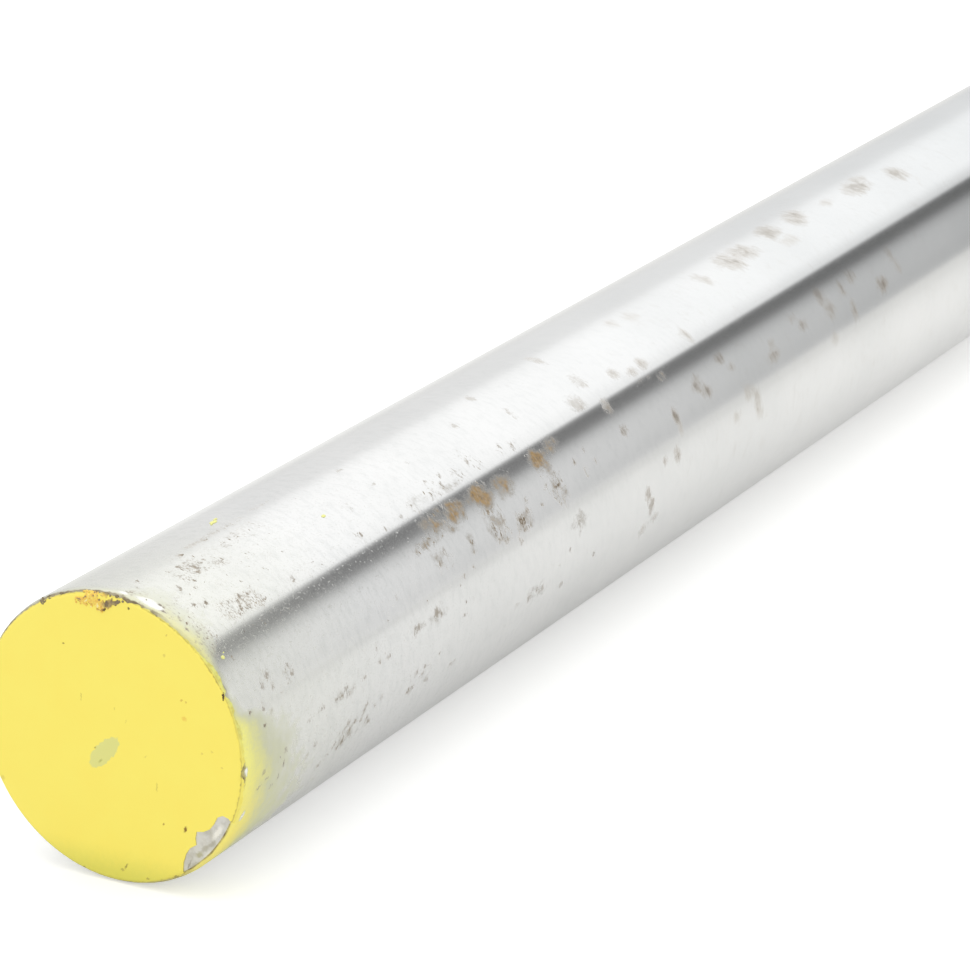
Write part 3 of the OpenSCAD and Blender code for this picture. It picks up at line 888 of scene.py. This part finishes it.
def paintWear(piece):
    # the wear, as four numbers at each point: how thick the flecks lie, how dark and
    # how orange they are, and the haze of rust between them
    wear = piece.data.color_attributes.new("wear", "FLOAT_COLOR", "POINT")
    perDegree = math.radians(1) * rodRadius / mm
    nearby = {}
    for v, point in zip(piece.data.vertices, wear.data):
        along = (v.co.x - paintedEnd) / mm
        degrees = math.degrees(math.atan2(-v.co.y, v.co.z - axisHeight))
        ring = round(along)
        if ring not in nearby:
            nearby[ring] = ([r for r in fleckRows if r[0] - 4 < along < r[1] + 4],
                            [r for r in fleckSpots if abs(r[0] - along) < r[3] + 2],
                            [r for r in hazeSpots if abs(r[0] - along) < r[2] * 1.5 + 1])
        rows, spots, hazes = nearby[ring]
        rise, dark, warm, haze = 0.0, 0.3, 0.3, 0.0
        for start, end, top, low, count, length, tone, warmth in rows:
            area = (end - start) * (low - top) * perDegree
            thickest = 0.38 if along < 30 else max(0.32, 0.38 - (along - 30) * 0.002)
            thick = thickest * (count * 0.3 * length * length / area) ** 0.28
            thick *= (insideShare(along, start + 0.5, end - 0.5, 2.4)
                      * insideShare(degrees * perDegree, top * perDegree + 0.5,
                                    low * perDegree - 0.5, 2.0))
            if thick > rise:
                rise, dark, warm = thick, tone, warmth
        for middle, turn, tall, wide, tone in spots:
            spread = 0.85 if turn > 56 else 0.65
            spread = 1.15 if middle > 100 else spread
            away = math.hypot((along - middle) / (wide * spread + 0.3),
                              (degrees - turn) * perDegree / (tall * spread + 0.3))
            thick = wearShape["spotRise"] * max(0.0, 1 - away * away)
            if thick > rise:
                fromDegrees, toAlong, darker = wearShape["lowSide"]
                tone *= darker if turn > fromDegrees and middle < toAlong else 1
                rise, dark, warm = thick, tone, wearShape["spotWarm"]
        for middle, turn, halfAlong, halfTurn, amount in hazes:
            away = math.hypot((along - middle) / halfAlong, (degrees - turn) / halfTurn)
            haze = max(haze, amount * max(0.0, 1 - (away / 1.4) ** 2))
        if rise < wearShape["sparse"][0]:
            rise, dark, warm = wearShape["sparse"]
        point.color = (rise, dark, warm, haze)


def groundRod():
    bpy.ops.object.select_all(action="DESELECT")
    bpy.ops.mesh.primitive_cylinder_add(
        vertices=rodShape["aroundSteps"], radius=rodRadius, depth=plainEnd - faceX,
        end_fill_type="NGON", location=((plainEnd + faceX) / 2, 0, axisHeight),
        rotation=(0, math.pi / 2, 0))
    piece = newPiece("ground_rod")
    points = piece.data.vertices

    def atEnds(edge):
        a, b = (points[i].co.x for i in edge.vertices)
        return abs(a - b) < 0.1 * mm
    startEdit(piece, "EDGE", atEnds)
    bpy.ops.mesh.bevel(offset=rodShape["edgeBreak"] * mm, segments=3, profile=0.4,
                       affect="EDGES")
    rings = rodShape["rimRings"] + [end for start, end, cuts in rodShape["wearRings"]]
    rings += [(plainEnd - paintedEnd) / mm - s for s in rodShape["plainRings"]]
    for s in rings:
        bpy.ops.mesh.select_all(action="SELECT")
        bpy.ops.mesh.bisect(plane_co=(paintedEnd + s * mm, 0, 0), plane_no=(1, 0, 0))
    for start, end, cuts in rodShape["wearRings"]:
        def spans(edge):
            places = sorted((points[i].co.x - paintedEnd) / mm for i in edge.vertices)
            return abs(places[0] - start) < 0.05 and abs(places[1] - end) < 0.05
        endEdit()
        points = piece.data.vertices
        startEdit(piece, "EDGE", spans)
        bpy.ops.mesh.subdivide(number_cuts=cuts)
    startEdit(piece, "FACE", lambda f: abs(f.normal.x) > 0.99 and len(f.vertices) > 100)
    for thickness in (0.4, 0.6, 1.0, 6.0):
        bpy.ops.mesh.inset(thickness=thickness * mm, use_individual=True)
    endEdit()

    # wear on both rims: only the edge break and the first part of the side moves
    rims = piece.vertex_groups.new(name="rims")
    for v in piece.data.vertices:
        fromEnd = min(v.co.x - faceX, plainEnd - v.co.x) / mm
        out = math.hypot(v.co.y, v.co.z - axisHeight) / mm
        if fromEnd < 1.0 and out > rodRadius / mm - 0.75:
            rims.add([v.index], 1 - max(0.0, fromEnd - 0.5) / 0.5, "REPLACE")
    wear = bpy.data.textures.new("rimWear", "CLOUDS")
    wear.noise_scale = rodShape["wearGrain"] * mm
    wear.noise_depth = 3
    applyModifier(piece, "DISPLACE", texture=wear, vertex_group="rims",
                  strength=rodShape["rimWear"] * mm, mid_level=1.0, direction="NORMAL")
    for along, degrees, reach, depth in rodShape["dents"]:
        centre = onSide(along, degrees)
        inward = Vector((0, -centre.y, axisHeight - centre.z)).normalized()
        for v in piece.data.vertices:
            away = (v.co - centre).length / (reach * mm)
            if away < 1:
                v.co += inward * (depth * mm * (1 - away * away) ** 2)
    paintWear(piece)
    piece.data.materials.append(steelMaterial)
    piece.data.materials.append(cutMaterial)
    for f in piece.data.polygons:
        f.material_index = 1 if abs(f.normal.x) > 0.97 else 0
    smooth(piece, 32)
    return piece


rod = groundRod()
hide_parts("drill_rod")
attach(rod, "root")
print("rod made", len(rod.data.polygons))


# The paint on the end: a thin film that laps over the edge break, with a chip at the rim
filmShape = {
    "aroundSteps": 480, "ringStep": 0.2, "ringCount": 12,
    # how far the film laps over the edge break, by spans of degrees with a fade
    "laps": [((52, 118, 10), 0.56), ((118, 412, 10), 0.26)],
    "lapWander": 0.16,
    # places where the lap is knocked off: degrees, half width, depth in millimetres
    "nicks": [(92, 3.2, 0.45), (62, 1.2, 0.4), (116, 5, 0.25), (70, 1.5, 0.2),
              (-66, 2.5, 0.3), (9, 2, 0.2)],
    "chip": [                # millimetres on the face, across and up
        (16.7, -7.0), (15.9, -6.8), (15.1, -7.2), (14.6, -8.2), (14.0, -9.0),
        (13.1, -9.5), (12.1, -9.7), (11.9, -10.6), (12.0, -11.5), (11.1, -12.1),
        (10.5, -13.0), (10.1, -14.2), (10.0, -15.4), (10.4, -16.4), (11.5, -17.5),
        (16.5, -14.5), (19.5, -9.5), (18.4, -7.4), (17.3, -7.7)],
}


def prism(outline, name):
    # a closed shape through the paint, from an outline on the face
    bpy.ops.object.select_all(action="DESELECT")
    bpy.ops.mesh.primitive_circle_add(vertices=len(outline), radius=mm, fill_type="NGON")
    piece = newPiece(name)
    for v, (across, up) in zip(piece.data.vertices, outline):
        v.co = onFace(across, up, 1.0)
    startEdit(piece, "EDGE", lambda e: True)
    bpy.ops.mesh.subdivide(number_cuts=5, fractal=0.6, fractal_along_normal=0.0, seed=4)
    bpy.ops.transform.resize(value=(0, 1, 1), center_override=onFace(0, 0, 1.0))
    bpy.ops.mesh.select_all(action="SELECT")
    bpy.ops.mesh.extrude_region_move(TRANSFORM_OT_translate={"value": (2.5 * mm, 0, 0)})
    bpy.ops.mesh.select_all(action="SELECT")
    bpy.ops.mesh.normals_make_consistent(inside=False)
    endEdit()
    return piece


def endPaint():
    step, count = filmShape["ringStep"], filmShape["ringCount"]
    bpy.ops.object.select_all(action="DESELECT")
    bpy.ops.mesh.primitive_circle_add(
        vertices=filmShape["aroundSteps"], radius=rodRadius, fill_type="NGON",
        location=(faceX, 0, axisHeight), rotation=(0, -math.pi / 2, 0))
    piece = newPiece("end_paint")
    startEdit(piece, "FACE", lambda f: True)
    for _ in range(count):
        bpy.ops.mesh.inset(thickness=step * mm)
    endEdit()
    chamfer = rodShape["edgeBreak"]
    for v in piece.data.vertices:
        across, up = -v.co.y / mm, (v.co.z - axisHeight) / mm
        out = math.hypot(across, up)
        degrees = math.degrees(math.atan2(across, up))
        inner = (rodRadius / mm - out) / (step * count)
        lap = sum(amount * spanShare(span, degrees) for span, amount in filmShape["laps"])
        lap += filmShape["lapWander"] * (
            noise.noise(Vector((across, up, 0)) * 1.1)
            + noise.noise(Vector((across, up, 5)) * 3.2))
        for middle, half, deep in filmShape["nicks"]:
            lap -= deep * max(0.0, 1 - ((degrees - middle) / half) ** 2)
        lap = min(lap, chamfer * 1.3)
        past = lap * (1 - inner) + (chamfer - step * count) * inner
        reach = rodRadius / mm - chamfer + (past if past < 0 else past * math.sqrt(0.5))
        back = max(0.0, past * math.sqrt(0.5))
        v.co = Vector((faceX + (back + 0.02) * mm, -across / out * reach * mm,
                       axisHeight + up / out * reach * mm))
    applyModifier(piece, "SOLIDIFY", thickness=(paintLook["thickness"] + 0.02) * mm,
                  offset=1, use_even_offset=True)
    cutter = prism(filmShape["chip"], "chip")
    applyModifier(piece, "BOOLEAN", operation="DIFFERENCE", solver="EXACT", object=cutter)
    bpy.data.objects.remove(cutter)
    piece.data.materials.append(paintMaterial)
    smooth(piece, 35)
    return piece


film = endPaint()
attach(film, "root")
print("paint made", len(film.data.polygons))


# Rust crust on the rim, crumbly, and soaked with paint over its thickest part
crustShape = {
    "voxel": 0.07, "grain": 0.25, "roughen": 0.12,
    # patches of crumbs: across, up, half width and half height in millimetres, how many,
    # their size and how far they stand out
    "patches": [
        (-3.7, 17.5, 1.0, 0.5, 16, 0.55, 0.16), (-2.3, 17.6, 1.2, 0.85, 36, 0.6, 0.2),
        (-1.0, 17.3, 1.1, 0.9, 36, 0.6, 0.24), (0.0, 17.1, 0.6, 0.6, 16, 0.5, 0.26),
        (0.9, 17.9, 1.2, 0.5, 24, 0.55, 0.2), (2.0, 18.2, 0.6, 0.25, 8, 0.4, 0.14),
        (-0.8, 18.6, 3.2, 0.2, 26, 0.5, 0.2), (-9.3, 16.2, 0.6, 0.35, 14, 0.4, 0.14),
        (-8.3, 16.8, 0.6, 0.2, 8, 0.35, 0.12), (-6.5, 17.55, 0.5, 0.18, 8, 0.3, 0.12),
        (16.35, 8.75, 0.12, 0.55, 14, 0.34, 0.1)],
}


def rimRust():
    draw = random.Random(5)
    bpy.ops.object.select_all(action="DESELECT")
    crumbs = []
    for across, up, halfWide, halfHigh, count, size, thick in crustShape["patches"]:
        for _ in range(count):
            place = (across + halfWide * draw.triangular(-1, 1),
                     up + halfHigh * draw.triangular(-1, 1))
            back = max(0.0, math.hypot(*place) - rodRadius / mm + rodShape["edgeBreak"])
            bpy.ops.mesh.primitive_ico_sphere_add(
                subdivisions=2, radius=0.5 * mm, location=onFace(*place, -back),
                scale=(thick * draw.uniform(1.0, 2.2), size * draw.uniform(0.4, 1.1),
                       size * draw.uniform(0.4, 1.1)))
            crumbs.append(bpy.context.object)
    for crumb in crumbs:
        crumb.select_set(True)
    bpy.context.view_layer.objects.active = crumbs[0]
    bpy.ops.object.join()
    piece = newPiece("rim_rust")
    applyModifier(piece, "REMESH", mode="VOXEL", voxel_size=crustShape["voxel"] * mm)
    grain = bpy.data.textures.new("crustGrain", "CLOUDS")
    grain.noise_scale = crustShape["grain"] * mm
    applyModifier(piece, "DISPLACE", texture=grain, mid_level=0.6,
                  strength=crustShape["roughen"] * mm)
    piece.data.materials.append(crustMaterial)
    smooth(piece, 45)
    return piece


crust = rimRust()
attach(crust, "root")
print("rim rust made", len(crust.data.polygons))


# Rust scabs: the thickest flecks stand proud of the steel
fleckShape = {"sides": 10, "shapes": 6, "share": 0.3, "aspect": 0.3, "height": 0.02,
              "sunk": 0.012, "spotTone": 0.42}


def fleckPattern(seed):
    # a flat scab about the origin, one unit across, with a ragged edge
    bpy.ops.object.select_all(action="DESELECT")
    bpy.ops.mesh.primitive_circle_add(vertices=fleckShape["sides"], radius=0.5,
                                      fill_type="TRIFAN")
    piece = newPiece("fleckPattern")
    startEdit(piece, "FACE", lambda f: True)
    bpy.ops.mesh.extrude_region_move(TRANSFORM_OT_translate={"value": (0, 0, 1)})
    bpy.ops.transform.resize(value=(0.7, 0.7, 1), center_override=(0, 0, 1))
    bpy.ops.mesh.select_all(action="SELECT")
    bpy.ops.transform.vertex_random(offset=0.16, seed=seed)
    bpy.ops.mesh.normals_make_consistent(inside=False)
    endEdit()
    return piece


def fleckPlaces(draw):
    # each scab: along, degrees, size round the rod and along it, how dark, how orange
    places = []
    for start, end, top, bottom, count, length, dark, warm in fleckRows:
        share = fleckShape["share"] * (1 if start < 40 else 0.6)
        for _ in range(int(count * share * dark)):
            size = length * draw.uniform(0.3, 1.0)
            places.append((draw.triangular(start, end), draw.triangular(top, bottom), size,
                           size * fleckShape["aspect"] * draw.uniform(0.6, 1.5),
                           dark + draw.gauss(0, 0.16), warm * draw.uniform(0.2, 1.0)))
    for along, degrees, tall, wide, dark in fleckSpots:
        if dark < fleckShape["spotTone"] or along > 100:
            continue
        for _ in range(2 + int(tall * wide * 2)):
            wander = math.degrees(draw.gauss(0, 0.25) * tall * mm / rodRadius)
            places.append((along + draw.gauss(0, 0.25) * wide, degrees + wander,
                           tall * draw.uniform(0.3, 0.7), wide * draw.uniform(0.3, 0.7),
                           dark * draw.uniform(0.5, 1.4), 0.3 * draw.random()))
    return places


def rustFlecks():
    draw = random.Random(11)
    patterns = [fleckPattern(seed) for seed in range(fleckShape["shapes"])]
    copies = []
    for along, degrees, tall, wide, dark, warm in fleckPlaces(draw):
        tilt = math.radians(draw.gauss(8, 18))
        mesh = draw.choice(patterns).data.copy()
        for v in mesh.vertices:
            x, y, z = v.co.x * wide, v.co.y * tall, v.co.z
            alongRod = along + x * math.cos(tilt) - y * math.sin(tilt)
            aroundRod = x * math.sin(tilt) + y * math.cos(tilt)
            turn = degrees + math.degrees(aroundRod * mm / rodRadius)
            v.co = onSide(alongRod, turn, z * fleckShape["height"] - fleckShape["sunk"])
        for name, value in (("tone", dark), ("warmth", warm)):
            layer = mesh.attributes.new(name, "FLOAT", "POINT")
            layer.data.foreach_set("value", [value] * len(mesh.vertices))
        copy = bpy.data.objects.new("fleck", mesh)
        bpy.context.scene.collection.objects.link(copy)
        copies.append(copy)
    bpy.ops.object.select_all(action="DESELECT")
    for copy in copies:
        copy.select_set(True)
    bpy.context.view_layer.objects.active = copies[0]
    bpy.ops.object.join()
    piece = bpy.context.object
    piece.name = piece.data.name = "rust_flecks"
    for pattern in patterns:
        bpy.data.objects.remove(pattern)
    piece.data.materials.append(rustMaterial)
    smooth(piece, 50)
    return piece


flecks = rustFlecks()
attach(flecks, "root")
print("flecks made", len(flecks.data.polygons))


# Drops of paint that landed on the side
dropShape = {
    "bulge": 0.13, "sunk": 0.03,     # millimetres
    # along, degrees, half length along the rod and half width round it
    "drops": [(27.4, -5.8, 0.7, 0.4), (28.5, -7.0, 0.4, 0.22), (26.5, -4.9, 0.2, 0.14),
              (39.1, 22.2, 0.42, 0.26), (3.1, 49.6, 0.32, 0.26), (3.7, 48.2, 0.1, 0.08)],
}


def paintDroplets():
    drops = []
    for along, degrees, halfAlong, halfAround in dropShape["drops"]:
        bpy.ops.object.select_all(action="DESELECT")
        bpy.ops.mesh.primitive_ico_sphere_add(subdivisions=3, radius=1)
        drop = newPiece("drop")
        startEdit(drop, "VERT", lambda v: v.co.z < 0)
        bpy.ops.transform.resize(value=(0.9, 0.9, 0.2), center_override=(0, 0, 0))
        bpy.ops.mesh.select_all(action="SELECT")
        bpy.ops.transform.vertex_random(offset=0.05, seed=len(drops) + 3)
        endEdit()
        for v in drop.data.vertices:
            turn = degrees + math.degrees(v.co.y * halfAround * mm / rodRadius)
            height = v.co.z * dropShape["bulge"] if v.co.z > 0 else -dropShape["sunk"]
            v.co = onSide(along + v.co.x * halfAlong, turn, height)
        drops.append(drop)
    for drop in drops:
        drop.select_set(True)
    bpy.context.view_layer.objects.active = drops[0]
    bpy.ops.object.join()
    piece = bpy.context.object
    piece.name = piece.data.name = "paint_droplets"
    piece.data.materials.append(paintMaterial)
    smooth(piece, 60)
    return piece


droplets = paintDroplets()
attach(droplets, "root")
print("droplets made", len(droplets.data.polygons))


# Floor
floorLook = {
    "colour": "#e6e6e4", "glow": 0.42, "glossGlow": 0.2, "reach": 12.0,
    # lighter and darker parts that the steel mirrors, in metres: along the rod from the
    # painted end, aside from it, and how much
    "parts": [((0.1, 0.26), (0.1, 0.02), 0.14), ((0.29, 0.5), (0.06, 0.2), -0.13)],
}


def paperFloor():
    material, tree = newMaterial("paleFloor")
    path = addNode(tree, "LightPath")
    inGloss = addNode(tree, "Math", {"operation": "MAXIMUM"}, [
        path.outputs["Is Glossy Ray"], path.outputs["Is Transmission Ray"]])
    coords = addNode(tree, "TexCoord")
    parts = addNode(tree, "SeparateXYZ", None, [coords.outputs["Object"]])
    aside = addNode(tree, "Math", {"operation": "ABSOLUTE"}, [parts.outputs["Y"]])
    glossGlow = floorLook["glossGlow"]
    for (start, end), (outer, inner), amount in floorLook["parts"]:
        alongShare = addNode(tree, "MapRange", None, {
            "Value": parts.outputs["X"], "From Min": paintedEnd + start,
            "From Max": paintedEnd + end, "To Max": amount})
        asideShare = addNode(tree, "MapRange", None, {
            "Value": aside, "From Min": outer, "From Max": inner})
        glossGlow = addNode(tree, "Math", {"operation": "MULTIPLY_ADD"},
                            [alongShare, asideShare, glossGlow])
    inGloss = addNode(tree, "Math", {"operation": "MULTIPLY"}, [inGloss, glossGlow])
    glow = addNode(tree, "Math", {"operation": "MULTIPLY_ADD"},
                   [path.outputs["Is Camera Ray"], floorLook["glow"], inGloss])
    paper = addNode(tree, "BsdfDiffuse", None, {"Color": linear(floorLook["colour"])})
    light = addNode(tree, "Emission", None, {"Strength": glow})
    finishMaterial(tree, addNode(tree, "AddShader", None, [paper, light]))
    bpy.ops.object.select_all(action="DESELECT")
    bpy.ops.mesh.primitive_plane_add(size=floorLook["reach"] * 2)
    floor = newPiece("floor")
    floor.data.materials.append(material)


paperFloor()

# Studio light: an even white room. What the steel mirrors runs in bands beside the rod,
# as long strip lights and cards would: degrees from straight up, growing towards -Y,
# and brightness.
studioLook = {
    "plain": 0.98,           # light on everything that isn't glossy
    "bandScale": 1.5,
    "bands": [(-180, 0.62), (-93, 0.63), (-80, 0.66), (-60, 0.70), (-52, 0.70),
              (-50.5, 0.66), (-49.2, 0.68), (-47.8, 0.86), (-38, 0.92), (-28, 0.945),
              (0, 0.95), (20, 0.945), (29.9, 0.935), (31.3, 0.15), (34, 0.155),
              (38, 0.195), (40.5, 0.23), (42.5, 0.26), (44.5, 0.335), (46.5, 0.445),
              (51, 0.63), (58, 0.73), (74, 0.71), (86, 0.64), (90, 0.64), (180, 0.66)],
    "lean": 0.5,             # how far the bands turn from the rod's direction
    "lowDim": (1.21, 0.42),  # the low cards, across the rod and along it
    "edgeDim": 0.42,         # how far the upper lights fall off towards the low cards
    "farTint": (0.955, 0.98, 1.0, 1),
    "lamp": {"power": 4, "size": 1.4, "height": 1.2},
}


def studio():
    world = bpy.data.worlds.new("studio")
    bpy.context.scene.world = world
    world.use_nodes = True
    tree = world.node_tree
    tree.nodes.clear()
    coords = addNode(tree, "TexCoord")
    parts = addNode(tree, "SeparateXYZ", None, [coords.outputs["Generated"]])
    across = addNode(tree, "Math", {"operation": "MULTIPLY"}, [parts.outputs["Y"], -1])
    turn = addNode(tree, "Math", {"operation": "ARCTAN2"}, [across, parts.outputs["Z"]])
    lengthwise = addNode(tree, "Math", {"operation": "POWER"}, [parts.outputs["X"], 2])
    lean = addNode(tree, "MapRange", {"clamp": False}, {
        "Value": lengthwise, "From Min": 0.65, "From Max": 1.65,
        "To Max": studioLook["lean"]})
    onLow = addNode(tree, "MapRange", None, {
        "Value": turn, "From Min": 0, "From Max": math.radians(20)})
    lean = addNode(tree, "Math", {"operation": "MULTIPLY"}, [lean, onLow])
    turn = addNode(tree, "Math", {"operation": "ADD"}, [turn, lean])
    share = addNode(tree, "MapRange", None, {
        "Value": turn, "From Min": -math.pi, "From Max": math.pi})
    bands = addRamp(tree, share, [(degrees, (bright, bright, bright, 1))
                                  for degrees, bright in studioLook["bands"]])
    # straight along the rod the low cards are darker, and the high ones a little
    lowDim = addNode(tree, "MapRange", None, {
        "Value": lengthwise, "From Min": 0.58, "From Max": 0.84,
        "To Min": studioLook["lowDim"][0], "To Max": studioLook["lowDim"][1]})
    highDim = addNode(tree, "MapRange", None, {
        "Value": lengthwise, "From Min": 0.72, "From Max": 0.84, "To Min": 1.0,
        "To Max": 0.86})
    lowBand = addNode(tree, "MapRange", None, {
        "Value": turn, "From Min": math.radians(29), "From Max": math.radians(31)})
    nearEdge = addNode(tree, "MapRange", {"interpolation_type": "SMOOTHSTEP"}, {
        "Value": turn, "From Min": math.radians(10), "From Max": math.radians(31),
        "To Max": studioLook["edgeDim"]})
    farView = addNode(tree, "MapRange", None, {
        "Value": lengthwise, "From Min": 0.7, "From Max": 0.84})
    edgeFade = addNode(tree, "Math", {"operation": "MULTIPLY"}, [nearEdge, farView])
    highDim = addNode(tree, "Math", {"operation": "SUBTRACT"}, [highDim, edgeFade])
    dimHere = addNode(tree, "Mix", None, {0: lowBand, 2: highDim, 3: lowDim})
    strength = addNode(tree, "Math", {"operation": "MULTIPLY"}, [
        bands.outputs["Color"], studioLook["bandScale"]])
    strength = addNode(tree, "Math", {"operation": "MULTIPLY"}, [strength, dimHere])
    path = addNode(tree, "LightPath")
    lit = addNode(tree, "Mix", None, {
        0: path.outputs["Is Glossy Ray"], 2: studioLook["plain"], 3: strength})
    seen = addNode(tree, "Mix", None, {0: path.outputs["Is Camera Ray"], 2: lit, 3: 1.0})
    tint = addNode(tree, "Mix", {"data_type": "RGBA"}, {
        0: addNode(tree, "MapRange", None, {
            "Value": lengthwise, "From Min": 0.68, "From Max": 0.84}),
        6: (1, 1, 1, 1), 7: studioLook["farTint"]})
    glossTint = addNode(tree, "Mix", {"data_type": "RGBA"}, {
        0: path.outputs["Is Glossy Ray"], 6: (1, 1, 1, 1), 7: tint.outputs[2]})
    room = addNode(tree, "Background", None, {
        "Color": glossTint.outputs[2], "Strength": seen})
    output = addNode(tree, "OutputWorld")
    tree.links.new(room.outputs[0], output.inputs["Surface"])
    world.cycles.sampling_method = "NONE"      # so that gloss sees only the bands

    lampData = bpy.data.lights.new("softbox", "AREA")
    lampData.shape = "SQUARE"
    lampData.size = studioLook["lamp"]["size"]
    lampData.energy = studioLook["lamp"]["power"]
    lamp = bpy.data.objects.new("softbox", lampData)
    lamp.location = (-0.3, 0.2, studioLook["lamp"]["height"])
    lamp.visible_glossy = False
    bpy.context.scene.collection.objects.link(lamp)


studio()
bpy.context.scene.view_settings.view_transform = "Standard"
print("studio lit")
